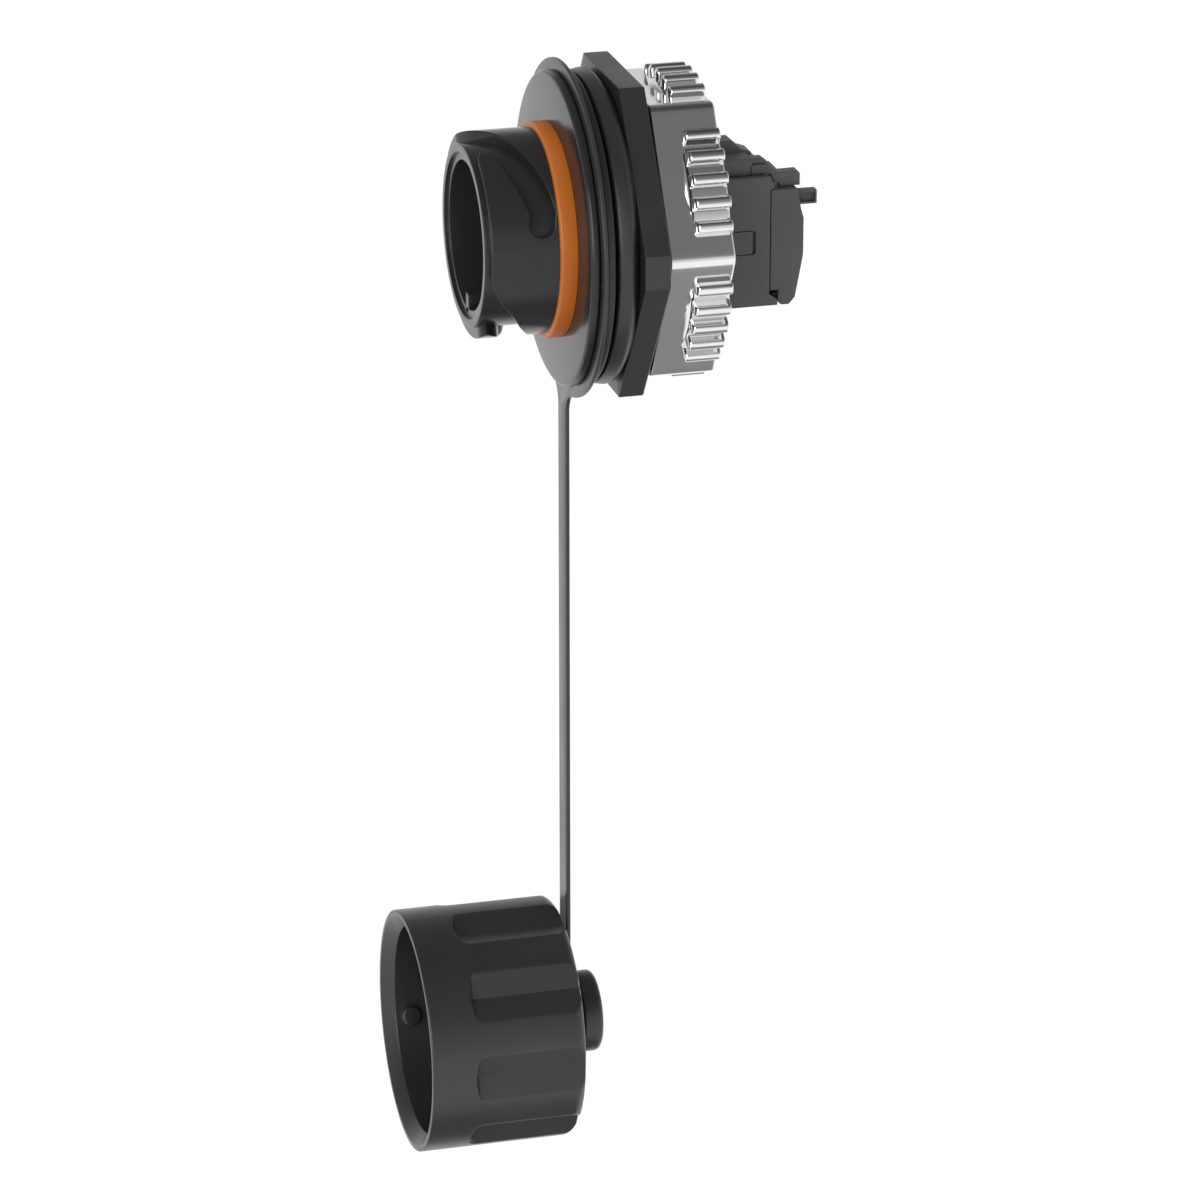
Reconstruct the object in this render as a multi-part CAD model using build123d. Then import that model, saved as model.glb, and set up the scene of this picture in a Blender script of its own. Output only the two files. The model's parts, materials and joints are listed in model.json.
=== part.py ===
from build123d import *
from math import cos, radians, sin, sqrt, tan
import os

# Panel-mount ethernet jack with a bayonet barrel, a tethered cap and a field-wired module.
# Millimetres. The jack's axis is the Y axis: mating end towards -Y, cable end towards +Y.
# Y = 0 is the panel face that the gasket seals on; +Z is up and the cap hangs down.

# Fits and clearances
RUNNING_GAP = 0.06
SIDE_GAP = 0.2
END_GAP = 0.05
SLIP_GAP = 0.1
NUT_GAP = 0.35
SEAT_GAP = 0.15

# Stack from the panel face forward
PANEL_SEAL_THICK = 1.1
HUB_LENGTH = 0.9
FLANGE_THICK = 1.05
COUPLING_SEAL_WIDTH = 2.1
BARREL_LENGTH = 10.4
NOSE_LENGTH = 0.52

# Radii of the moulded body
BARREL_R = 12.5
NOSE_R = 11.15
BORE_R = 9.1
MOUTH_STEP = 1.0
MOUTH_DEPTH = 0.4
SEAL_GROOVE_DEPTH = 0.8
FLANGE_OVERHANG = 2.2
FLANGE_EDGE = 0.4
HUB_STEP = 2.0
SHANK_R = 15.0
SHANK_WALL = 1.4
INSERT_SEAT_DEPTH = 0.5

# Key rib at the bottom of the bore
KEY_WIDTH = 1.4
KEY_HEIGHT = 1.76
KEY_LENGTH = 9.2

# Bayonet slots: stations are (angle in degrees from +X, distance behind the barrel step)
SLOT_TURNS = (0.0, 116.5, 233.0)
SLOT_DETENT_ANGLE = 20.0
SLOT_DETENT_DEPTH = 6.35
SLOT_DETENT_R = 1.55
SLOT_END_ANGLE = 27.4
SLOT_MOUTH_ANGLE = 119.0
SLOT_TIP_ANGLE = 68.4
SLOT_TIP_CORNER = 5.6
SLOT_STEPS = 24
SLOT_OVERRUN = 1.5
SLOT_END_WIDTH = 4.0
SLOT_REAR_EDGE = ((27.4, 8.1), (45, 7.2), (67, 5.4), (77, 4.4), (89.5, 3.15), (104, 1.0), (119, -0.2))
SLOT_FRONT_EDGE = ((27.4, 4.95), (38.3, 4.1), (49.3, 3.1), (60.9, 2.2), (66, 1.45), (68.4, 0.6))

# Seals
COUPLING_SEAL_HEIGHT = 0.6
COUPLING_SEAL_CHAMFER = 0.3
INSERT_SEAL_THICK = 0.9
INSERT_SEAL_WIDTH = 3.5

# Nuts
PANEL_NUT_STANDOFF = 0.45
PANEL_NUT_COLLAR_WALL = 4.3
PANEL_NUT_COLLAR_LENGTH = 2.7
PANEL_NUT_COLLAR_BEVEL = 0.9
PANEL_NUT_NECK_WALL = 2.95
PANEL_NUT_TOP_WALL = 4.3
PANEL_NUT_SIDE_WALL = 5.6
PANEL_NUT_TOP_FLAT = 16.8
PANEL_NUT_SIDE_FLAT = 4.1
PANEL_NUT_HEX_LENGTH = 3.15
MODULE_NUT_WALL = 2.0
MODULE_NUT_LENGTH = 8.0
MODULE_NUT_CORNER_R = 1.0
MODULE_NUT_LIP_HEIGHT = 1.2
MODULE_NUT_LIP_THICK = 1.2
KNURL_TEETH = 42
KNURL_FIRST_ANGLE = 30
KNURL_TIP_RISE = 2.0
KNURL_ROOT_RISE = 0.75
KNURL_TIP_ROUND = 0.3
KNURL_LENGTH = 4.45
KNURL_REAR_SET = 0.1
KNURL_CREST_SHARE = 0.5

# Parts that hold the module in the shank
INSERT_THICK = 2.0
RETAINER_WALL = 1.3

# Socket housing
PLUG_WIDTH = 11.8
PLUG_HEIGHT = 8.3
SOCKET_WALL = 1.0
SOCKET_NOSE = 4.3
SOCKET_TAIL = 6.7
SOCKET_COLLAR_THICK = 2.0
SOCKET_CAVITY_DEPTH = 11.5
SOCKET_REAR_STEP = 1.0
SHIELD_THICK = 0.3

# Contacts
CONTACT_COUNT = 8
CONTACT_PITCH = 1.02
CONTACT_WIRE = 0.4
CONTACT_TIP_DEPTH = 3.0
CONTACT_BEND = 0.6
CONTACT_BEND_SET = 0.7
CONTACT_SLOPE_LENGTH = 6.0
CONTACT_SLOPE_SET = 2.1
CARRIER_THICK = 3.4
BOARD_THICK = 1.2
BOARD_EDGE_GAP = 0.4
IDC_BLOCK_LENGTH = 5.2
IDC_BLOCK_MARGIN = 0.5
IDC_BLADE_LENGTH = 6.0
IDC_BLADE_WIDTH = 2.2
IDC_BLADE_THICK = 0.4
IDC_BLADE_CORNER = 0.4
IDC_BLADE_POINT = 0.6
IDC_FORK_LENGTH = 3.4
IDC_WIRE_SLOT_DEPTH = 2.2
IDC_WIRE_SLOT_WIDTH = 1.8
IDC_SLIT = 0.5
IDC_PITCH = 2.6
IDC_ROW = 2.4

# Module shells
MODULE_HALF_WIDTH = 6.2
MODULE_WALL = 1.1
MODULE_CORNER_GAP = 0.48
MODULE_PART_LINE = 6.35
MODULE_REACH = 8.05
MODULE_REAR_SLANT = 0.55
MODULE_SLANT_RISE = 0.5
MODULE_FLOOR_THICK = 1.45
LIP_DROP = 0.7
RIDGE_SET_IN = 1.0
RIDGE_HEIGHT = 2.15
RIDGE_REAR_STEP = 2.05
RIDGE_WIDTH = 6.0
RIDGE_FAR_SLANT = 1.2
LID_EDGE = 0.2
LID_CROWN = 0.7
LID_FLOOR_THICK = 0.6
PART_GAP = 0.08
ARM_WIDTH = 1.6
ARM_HEIGHT = 1.22
ARM_REACH = 3.4
ARM_SLOPE_LENGTH = 1.2
ARM_NECK = 0.15
ARM_CORNER = 0.35
WEDGE_LENGTH = 1.3
WEDGE_SLOPE = 0.75
WEDGE_THICK = 0.65
LATCH_REAR_STEP = 2.25
LATCH_LENGTH = 2.2
LATCH_TOP = -0.36
LATCH_BOTTOM = -3.2
LATCH_SLOT = 0.25
LATCH_REAR_SLOT = 0.45

# Rear cover and its hinge
COVER_TOP = 4.62
COVER_LENGTH = 4.22
COVER_WALL = 1.1
COVER_SHOULDER_Z = 2.1
COVER_WIDEST_Z = 0.84
COVER_TOP_STEP = 0.8
COVER_SHOULDER_STEP = 0.35
COVER_BELLY_Z = -4.2
COVER_BELLY_STEP = 0.12
COVER_FOOT_RISE = 1.12
COVER_FOOT_STEP = 0.95
COVER_FOOT_CORNER = 0.9
COVER_PIVOT_STEP = 1.7
COVER_HEEL_R = 0.62
KNUCKLE_R = 0.56
KNUCKLE_WEB = 1.0
KNUCKLE_WEB_DROP = 0.12
TRUNNION_R = 0.3
TRUNNION_LENGTH = 0.8
TRUNNION_ROOT = 0.3
NOTCH_HEIGHT = 0.45
TAB_LENGTH = 2.0
TAB_ROOT = 0.5
TAB_SET_IN = 0.1
TAB_TOP = 4.3
TAB_BOTTOM = 2.55
TAB_WIDTH = 1.3
CABLE_R = 3.3
CABLE_LEDGE = 1.6
GUIDE_LENGTH = 2.0
GUIDE_FOOT_GAP = 1.0
GUIDE_HEAD_GAP = 0.75
GUIDE_GROOVE_DEPTH = 1.0
GUIDE_GROOVE_WIDTH = 1.1

# Cap and its tether
CAP_DROP = 104.69
CAP_LENGTH = 20.0
CAP_BORE_GAP = 0.7
CAP_WALL = 2.2
CAP_RIM_WALL = 0.7
CAP_RIM_DEPTH = 1.5
CAP_END_WALL = 2.4
CAP_EDGE_R = 1.8
GRIP_COUNT = 9
GRIP_PHASE = 38.0
GRIP_LENGTH = 13.6
GRIP_DEPTH = 1.3
GRIP_SLOPE = 17.0
GRIP_REACH = 2.6
LUG_R = 1.25
LUG_HEIGHT = 1.3
LUG_DEPTH = 3.4
LUG_PHASE = 197.8
NECK_R = 3.0
NECK_FRONT_PLAY = 0.65
NECK_REAR_PLAY = 1.0
KNOB_R = 5.2
KNOB_LENGTH = 2.6
KNOB_EDGE_R = 0.8
TETHER_THICK = 0.5
TETHER_RING_RISE = 1.4
TETHER_WIDTH = 3.75
TETHER_EYE_R = 5.6
TETHER_FILLET = 3.0

# Radii that follow from the values above
MOUTH_R = BORE_R + MOUTH_STEP
SLOT_REACH_R = BARREL_R + SLOT_OVERRUN
SEAL_GROOVE_R = BARREL_R - SEAL_GROOVE_DEPTH
COUPLING_SEAL_R = BARREL_R + COUPLING_SEAL_HEIGHT
HUB_R = SHANK_R + HUB_STEP
FLANGE_R = HUB_R + FLANGE_OVERHANG
SHANK_BORE_R = SHANK_R - SHANK_WALL
INSERT_R = SHANK_BORE_R - SLIP_GAP
RETAINER_BORE_R = INSERT_R - RETAINER_WALL
PANEL_NUT_COLLAR_R = SHANK_R + PANEL_NUT_COLLAR_WALL
PANEL_NUT_NECK_R = SHANK_R + PANEL_NUT_NECK_WALL
PANEL_NUT_TOP = SHANK_R + PANEL_NUT_TOP_WALL
PANEL_NUT_SIDE = SHANK_R + PANEL_NUT_SIDE_WALL
MODULE_NUT_FLATS = 2 * (SHANK_R + MODULE_NUT_WALL)
CAP_BORE_R = BARREL_R + CAP_BORE_GAP
CAP_R = CAP_BORE_R + CAP_WALL
CAP_RIM_R = CAP_R - CAP_RIM_WALL
TETHER_RING_R = FLANGE_R + TETHER_RING_RISE
MODULE_NUT_LIP_R = SHANK_BORE_R - MODULE_NUT_LIP_HEIGHT
KNURL_TIP_R = MODULE_NUT_FLATS / 2 + KNURL_TIP_RISE
KNURL_ROOT_R = MODULE_NUT_FLATS / 2 + KNURL_ROOT_RISE

# Stations along the axis, worked out from the stack
HUB_REAR = -PANEL_SEAL_THICK
FLANGE_REAR = HUB_REAR - HUB_LENGTH
FLANGE_FRONT = FLANGE_REAR - FLANGE_THICK
GROOVE_FRONT = FLANGE_FRONT - COUPLING_SEAL_WIDTH
BARREL_STEP = FLANGE_FRONT - BARREL_LENGTH
BARREL_FRONT = BARREL_STEP - NOSE_LENGTH
INSERT_SEAT = HUB_REAR + INSERT_SEAT_DEPTH
INSERT_FRONT = INSERT_SEAT + INSERT_SEAL_THICK
INSERT_REAR = INSERT_FRONT + INSERT_THICK
COLLAR_REAR = INSERT_REAR + SOCKET_COLLAR_THICK
SOCKET_FRONT = INSERT_FRONT - SOCKET_NOSE
SOCKET_REAR = COLLAR_REAR + SOCKET_TAIL
CAVITY_REAR = SOCKET_FRONT + SOCKET_CAVITY_DEPTH
PANEL_NUT_FRONT = PANEL_NUT_STANDOFF
PANEL_NUT_STEP = PANEL_NUT_FRONT + PANEL_NUT_COLLAR_LENGTH
PANEL_NUT_REAR = PANEL_NUT_STEP + PANEL_NUT_HEX_LENGTH
MODULE_NUT_FRONT = PANEL_NUT_REAR + NUT_GAP
MODULE_NUT_REAR = MODULE_NUT_FRONT + MODULE_NUT_LENGTH
LIP_FRONT = MODULE_NUT_REAR - MODULE_NUT_LIP_THICK
SHANK_REAR = LIP_FRONT - SEAT_GAP
BOARD_FRONT = SOCKET_REAR
BOARD_REAR = BOARD_FRONT + BOARD_THICK
IDC_REAR = BOARD_REAR + IDC_BLOCK_LENGTH
BLADE_REAR = BOARD_REAR + IDC_BLADE_LENGTH
GUIDE_FRONT = BLADE_REAR + SIDE_GAP
MODULE_REAR = MODULE_NUT_REAR + MODULE_REACH
RIDGE_BACK = MODULE_REAR - RIDGE_REAR_STEP
LATCH_REAR = MODULE_REAR - LATCH_REAR_STEP
COVER_REAR = MODULE_REAR + COVER_LENGTH
COVER_PIVOT_Y = MODULE_REAR + COVER_PIVOT_STEP
TETHER_FRONT = FLANGE_REAR + SIDE_GAP
TETHER_REAR = TETHER_FRONT + TETHER_THICK
CAP_REAR = TETHER_FRONT - NECK_FRONT_PLAY
CAP_FRONT = CAP_REAR - CAP_LENGTH
NECK_END = TETHER_REAR + NECK_REAR_PLAY
KNOB_END = NECK_END + KNOB_LENGTH

# Heights and widths of the module that follow from its shells
MODULE_INNER = MODULE_HALF_WIDTH - MODULE_WALL
MODULE_CORNER_R = RETAINER_BORE_R - MODULE_CORNER_GAP
MODULE_BOTTOM = -sqrt(MODULE_CORNER_R**2 - MODULE_HALF_WIDTH**2)
MODULE_FLOOR = MODULE_BOTTOM + MODULE_FLOOR_THICK
NOTCH_TOP = MODULE_FLOOR + NOTCH_HEIGHT
COVER_FOOT_Z = MODULE_BOTTOM + COVER_FOOT_RISE
LID_BASE = MODULE_PART_LINE + PART_GAP
RIDGE_TOP = MODULE_PART_LINE + RIDGE_HEIGHT
COVER_PIVOT_Z = MODULE_BOTTOM + COVER_HEEL_R
GUIDE_FOOT = MODULE_FLOOR + GUIDE_FOOT_GAP
CABLE_Z = GUIDE_FOOT + CABLE_LEDGE + CABLE_R
BOARD_HALF_HEIGHT = MODULE_PART_LINE - END_GAP


def across(y):
    """Drawing plane at station y, with local x along X and local y along Z."""
    return Plane((0, y, 0), x_dir=(1, 0, 0), z_dir=(0, -1, 0))


def along(sketch, y_from, y_to):
    """Prism of an X-Z sketch between two stations on the axis."""
    return extrude(across(y_to) * sketch, amount=y_to - y_from)


def sideways(sketch, x_from, x_to):
    """Prism of a Y-Z sketch between two X positions."""
    return extrude(Plane.YZ.offset(x_from) * sketch, amount=x_to - x_from)


def turned(*points):
    """Solid of revolution about the Y axis from (radius, y) points."""
    return revolve(Polygon(*points, align=None), axis=Axis.Y)


def tube(inner_r, outer_r, y_from, y_to):
    """Plain ring about the jack's axis."""
    return turned((inner_r, y_from), (outer_r, y_from), (outer_r, y_to), (inner_r, y_to))


def at_angle(angle):
    """Turn about the jack's axis, counted from +X towards +Z."""
    return Rotation(0, -angle, 0)


def box_between(x_from, x_to, y_from, y_to, z_from, z_to):
    """Block given by its two extreme corners."""
    size = Box(x_to - x_from, y_to - y_from, z_to - z_from)
    return Pos((x_from + x_to) / 2, (y_from + y_to) / 2, (z_from + z_to) / 2) * size


def read_edge(stations, angle):
    """Depth of a slot edge at an angle, by straight lines between its stations."""
    for (a0, d0), (a1, d1) in zip(stations, stations[1:]):
        if angle <= a1:
            return d0 + (d1 - d0) * (angle - a0) / (a1 - a0)
    return stations[-1][1]


def slot_section(angle, front, rear):
    """Radial section of a bayonet slot at one angle, from its floor out through the barrel."""
    corners = ((NOSE_R, front), (SLOT_REACH_R, front), (SLOT_REACH_R, rear), (NOSE_R, rear))
    face = Plane.XY * Polygon(*corners, align=None)
    return at_angle(angle) * face


def slot_cutter():
    """One bayonet slot: a wide mouth that narrows to a ramp and ends in a round detent."""
    angles = [
        SLOT_END_ANGLE + (SLOT_MOUTH_ANGLE - SLOT_END_ANGLE) * i / SLOT_STEPS
        for i in range(SLOT_STEPS + 1)
    ]
    open_front = BARREL_FRONT - SLOT_OVERRUN
    ramp = [a for a in angles if a < SLOT_TIP_ANGLE] + [SLOT_TIP_ANGLE]
    mouth = [SLOT_TIP_ANGLE] + [a for a in angles if a > SLOT_TIP_ANGLE]
    ramp_faces = [
        slot_section(
            a,
            BARREL_STEP + read_edge(SLOT_FRONT_EDGE, a),
            BARREL_STEP + read_edge(SLOT_REAR_EDGE, a),
        )
        for a in ramp
    ]
    mouth_faces = [
        slot_section(a, open_front, BARREL_STEP + read_edge(SLOT_REAR_EDGE, a)) for a in mouth
    ]
    tip_corner = [
        slot_section(
            SLOT_TIP_ANGLE - SLOT_TIP_CORNER * i / 3,
            open_front,
            BARREL_STEP + SLOT_FRONT_EDGE[-1][1] * (1 - i / 3) ** 2,
        )
        for i in range(4)
    ]
    cutter = loft(ramp_faces, ruled=True) + loft(mouth_faces, ruled=True)
    cutter += loft(tip_corner, ruled=True)
    detent_y = BARREL_STEP + SLOT_DETENT_DEPTH
    detent = Pos(BARREL_R, detent_y, 0) * Rotation(0, 90, 0)
    detent = detent * Cylinder(SLOT_DETENT_R, 2 * SLOT_REACH_R - 2 * NOSE_R)
    end_faces = [
        slot_section(a, detent_y - SLOT_DETENT_R, detent_y + SLOT_DETENT_R)
        for a in (SLOT_DETENT_ANGLE, SLOT_DETENT_ANGLE + SLOT_END_WIDTH)
    ]
    end_faces.append(ramp_faces[0])
    cutter += loft(end_faces, ruled=True)
    detent &= tube(NOSE_R, SLOT_REACH_R, detent_y - SLOT_DETENT_R, detent_y + SLOT_DETENT_R)
    return cutter + at_angle(SLOT_DETENT_ANGLE) * detent


def make_jack_body():
    """Moulded body: slotted barrel, seal groove, round flange, hub and threaded shank."""
    edge = FLANGE_EDGE
    body = turned(
        (BORE_R, BARREL_FRONT + MOUTH_DEPTH),
        (MOUTH_R, BARREL_FRONT + MOUTH_DEPTH),
        (MOUTH_R, BARREL_FRONT),
        (NOSE_R, BARREL_FRONT),
        (NOSE_R, BARREL_STEP),
        (BARREL_R, BARREL_STEP),
        (BARREL_R, GROOVE_FRONT),
        (SEAL_GROOVE_R, GROOVE_FRONT),
        (SEAL_GROOVE_R, FLANGE_FRONT),
        (FLANGE_R - edge, FLANGE_FRONT),
        (FLANGE_R, FLANGE_FRONT + edge),
        (FLANGE_R, FLANGE_REAR),
        (HUB_R, FLANGE_REAR),
        (HUB_R, HUB_REAR),
        (SHANK_R, HUB_REAR),
        (SHANK_R, SHANK_REAR),
        (SHANK_BORE_R, SHANK_REAR),
        (SHANK_BORE_R, INSERT_SEAT),
        (BORE_R, INSERT_SEAT),
    )
    cutter = slot_cutter()
    for turn in SLOT_TURNS:
        body -= at_angle(turn) * cutter
    key_front = BARREL_FRONT + MOUTH_DEPTH
    key = box_between(
        -KEY_WIDTH / 2,
        KEY_WIDTH / 2,
        key_front,
        key_front + KEY_LENGTH,
        -(BORE_R + NOSE_R) / 2,
        -BORE_R + KEY_HEIGHT,
    )
    return body + key


def make_coupling_seal():
    """Coloured ring at the root of the barrel, chamfered on its leading edge."""
    c = COUPLING_SEAL_CHAMFER
    return turned(
        (SEAL_GROOVE_R, GROOVE_FRONT),
        (COUPLING_SEAL_R - c, GROOVE_FRONT),
        (COUPLING_SEAL_R, GROOVE_FRONT + c),
        (COUPLING_SEAL_R, FLANGE_FRONT),
        (SEAL_GROOVE_R, FLANGE_FRONT),
    )


def make_panel_seal():
    """Flat gasket between the flange hub and the panel."""
    return tube(SHANK_R + END_GAP, FLANGE_R, HUB_REAR, 0)


def make_insert_seal():
    """Flat ring that seals the socket insert against the body's inner shoulder."""
    return tube(INSERT_R - INSERT_SEAL_WIDTH, INSERT_R, INSERT_SEAT, INSERT_FRONT)


def make_panel_nut():
    """Plastic hex nut with a bevelled round collar and two trimmed corners."""
    bore_r = SHANK_R + RUNNING_GAP
    nut = turned(
        (bore_r, PANEL_NUT_FRONT),
        (PANEL_NUT_COLLAR_R, PANEL_NUT_FRONT),
        (PANEL_NUT_COLLAR_R, PANEL_NUT_STEP - PANEL_NUT_COLLAR_BEVEL),
        (PANEL_NUT_NECK_R, PANEL_NUT_STEP),
        (bore_r, PANEL_NUT_STEP),
    )
    top = (PANEL_NUT_TOP_FLAT / 2, PANEL_NUT_TOP)
    side = (PANEL_NUT_SIDE, PANEL_NUT_SIDE_FLAT / 2)
    quarters = ((1, 1, side, top), (-1, 1, top, side), (-1, -1, side, top), (1, -1, top, side))
    corners = [(sx * x, sz * z) for sx, sz, *pair in quarters for x, z in pair]
    outline = Polygon(*corners, align=None) - Circle(bore_r)
    return nut + along(outline, PANEL_NUT_STEP, PANEL_NUT_REAR)


def knurl_outline():
    """Ring of straight teeth with one crest in the middle of each flat."""
    pitch = 360 / KNURL_TEETH
    half_crest = pitch * KNURL_CREST_SHARE / 2
    shoulder_r = KNURL_TIP_R - KNURL_TIP_ROUND
    tooth = (
        (-pitch / 2, KNURL_ROOT_R),
        (-half_crest, KNURL_ROOT_R),
        (-half_crest * 0.72, shoulder_r),
        (-half_crest * 0.4, KNURL_TIP_R),
        (half_crest * 0.4, KNURL_TIP_R),
        (half_crest * 0.72, shoulder_r),
        (half_crest, KNURL_ROOT_R),
    )
    points = []
    for i in range(KNURL_TEETH):
        for offset, r in tooth:
            a = radians(KNURL_FIRST_ANGLE + i * pitch + offset)
            points.append((r * cos(a), r * sin(a)))
    return Polygon(*points, align=None)


def make_module_nut():
    """Metal hex nut, knurled on the rear half of each flat, with an inner lip at its rear."""
    bore_r = SHANK_R + RUNNING_GAP
    hexagon = RegularPolygon(MODULE_NUT_FLATS / 2, 6, major_radius=False)
    hexagon = fillet(hexagon.vertices(), MODULE_NUT_CORNER_R)
    nut = along(hexagon, MODULE_NUT_FRONT, MODULE_NUT_REAR)
    knurl_rear = MODULE_NUT_REAR - KNURL_REAR_SET
    nut += along(knurl_outline(), knurl_rear - KNURL_LENGTH, knurl_rear)
    nut -= tube(0, bore_r, MODULE_NUT_FRONT - 1, LIP_FRONT)
    return nut - tube(0, MODULE_NUT_LIP_R, MODULE_NUT_FRONT - 1, MODULE_NUT_REAR + 1)


def socket_outline(grow=0):
    """Outer section of the socket housing, grown evenly all round."""
    wide = PLUG_HEIGHT + 2 * SOCKET_WALL + 2 * grow
    tall = PLUG_WIDTH + 2 * SOCKET_WALL + 2 * grow
    return Rectangle(wide, tall)


def make_socket_insert():
    """Disc in the shank that carries the socket in a rectangular window."""
    disc = Circle(INSERT_R) - socket_outline(SLIP_GAP)
    return along(disc, INSERT_FRONT, INSERT_REAR)


def make_retainer_sleeve():
    """Sleeve that passes the metal nut's push on to the socket's collar."""
    return tube(RETAINER_BORE_R, INSERT_R, COLLAR_REAR, LIP_FRONT - END_GAP)


def make_socket_housing():
    """Socket for an eight-way modular plug, with its round collar."""
    housing = along(socket_outline(), SOCKET_FRONT, SOCKET_REAR)
    housing += along(Circle(INSERT_R), INSERT_REAR, COLLAR_REAR)
    cavity = Rectangle(PLUG_HEIGHT, PLUG_WIDTH)
    housing -= along(cavity, SOCKET_FRONT - 1, CAVITY_REAR)
    rear_room = Rectangle(PLUG_HEIGHT, PLUG_WIDTH - 2 * SOCKET_REAR_STEP)
    return housing - along(rear_room, CAVITY_REAR - 1, SOCKET_REAR + 1)


def make_shield_can():
    """Folded metal sheet around the socket housing behind its collar."""
    can = socket_outline(SHIELD_THICK + END_GAP) - socket_outline(END_GAP)
    return along(can, COLLAR_REAR + END_GAP, SOCKET_REAR)


def contact_z(index):
    """Height of a contact in its row."""
    return CONTACT_PITCH * (index - (CONTACT_COUNT - 1) / 2)


def contact_root_x():
    """Side of the cavity that the contacts lie along."""
    return PLUG_HEIGHT / 2 - CONTACT_WIRE


def make_contact(index):
    """Spring wire: along the cavity's side, round a bend and back up on a slope."""
    x_root = contact_root_x()
    y_tip = SOCKET_FRONT + CONTACT_TIP_DEPTH
    half = CONTACT_WIRE / 2
    route = Polyline(
        (x_root - half, BOARD_FRONT),
        (x_root - half, y_tip + CONTACT_BEND),
        (x_root - half - CONTACT_BEND_SET, y_tip),
        (x_root - half - CONTACT_BEND_SET - CONTACT_SLOPE_SET, y_tip + CONTACT_SLOPE_LENGTH),
    )
    wire = trace(route, CONTACT_WIRE)
    z = contact_z(index)
    return Pos(0, 0, z - half) * extrude(wire, amount=CONTACT_WIRE)


def make_contact_carrier():
    """Comb block that holds the contacts in front of the board."""
    rear = BOARD_FRONT
    front = rear - CARRIER_THICK
    half_w = PLUG_HEIGHT / 2 - SLIP_GAP
    half_h = PLUG_WIDTH / 2 - SOCKET_REAR_STEP - SLIP_GAP
    block = box_between(-half_w, half_w, front, rear, -half_h, half_h)
    x_root = contact_root_x()
    for i in range(CONTACT_COUNT):
        z = contact_z(i)
        half = CONTACT_WIRE / 2
        groove_from = x_root - CONTACT_WIRE
        block -= box_between(groove_from, half_w + 1, front - 1, rear + 1, z - half, z + half)
    return block


def make_circuit_board():
    """Upright board between the contacts and the terminals."""
    half_w = MODULE_INNER - BOARD_EDGE_GAP
    half_h = BOARD_HALF_HEIGHT
    return box_between(-half_w, half_w, BOARD_FRONT, BOARD_REAR, -half_h, half_h)


def blade_place(index):
    """X and Z of a terminal: two rows of four."""
    row = -1 if index < CONTACT_COUNT // 2 else 1
    place = index % (CONTACT_COUNT // 2)
    return row * IDC_ROW, IDC_PITCH * (place - 1.5)


def make_idc_block():
    """Block on the board with a slot for each terminal and each wire."""
    half_w = MODULE_INNER - BOARD_EDGE_GAP
    half_h = BOARD_HALF_HEIGHT - IDC_BLOCK_MARGIN
    half_wire = IDC_WIRE_SLOT_WIDTH / 2
    slot_front = IDC_REAR - IDC_WIRE_SLOT_DEPTH
    block = box_between(-half_w, half_w, BOARD_REAR, IDC_REAR, -half_h, half_h)
    for i in range(CONTACT_COUNT):
        x, z = blade_place(i)
        half = IDC_BLADE_THICK / 2
        half_blade = IDC_BLADE_WIDTH / 2
        block -= box_between(
            x - half_blade, x + half_blade, BOARD_REAR - 1, IDC_REAR + 1, z - half, z + half
        )
        block -= box_between(
            x - IDC_SLIT, x + IDC_SLIT, slot_front, IDC_REAR + 1, z - half_wire, z + half_wire
        )
    return block


def make_idc_blade(index):
    """Forked terminal blade that cuts into a wire's insulation."""
    x, z = blade_place(index)
    half = IDC_BLADE_WIDTH / 2
    fork_root = BLADE_REAR - IDC_FORK_LENGTH
    notch = IDC_SLIT / 2
    inner_point = BLADE_REAR - IDC_BLADE_POINT
    outer_point = BLADE_REAR - IDC_BLADE_CORNER
    outline = Polygon(
        (x - half, BOARD_REAR),
        (x + half, BOARD_REAR),
        (x + half, outer_point),
        (x + half - IDC_BLADE_CORNER, BLADE_REAR),
        (x + notch, inner_point),
        (x + notch, fork_root),
        (x - notch, fork_root),
        (x - notch, inner_point),
        (x - half + IDC_BLADE_CORNER, BLADE_REAR),
        (x - half, outer_point),
        align=None,
    )
    return Pos(0, 0, z - IDC_BLADE_THICK / 2) * extrude(outline, amount=IDC_BLADE_THICK)


def can_room():
    """Space that the shielded socket takes inside the front of the module shells."""
    outline = socket_outline(SHIELD_THICK + END_GAP + SLIP_GAP)
    return along(outline, COLLAR_REAR - 1, SOCKET_REAR + SLIP_GAP)


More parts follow.
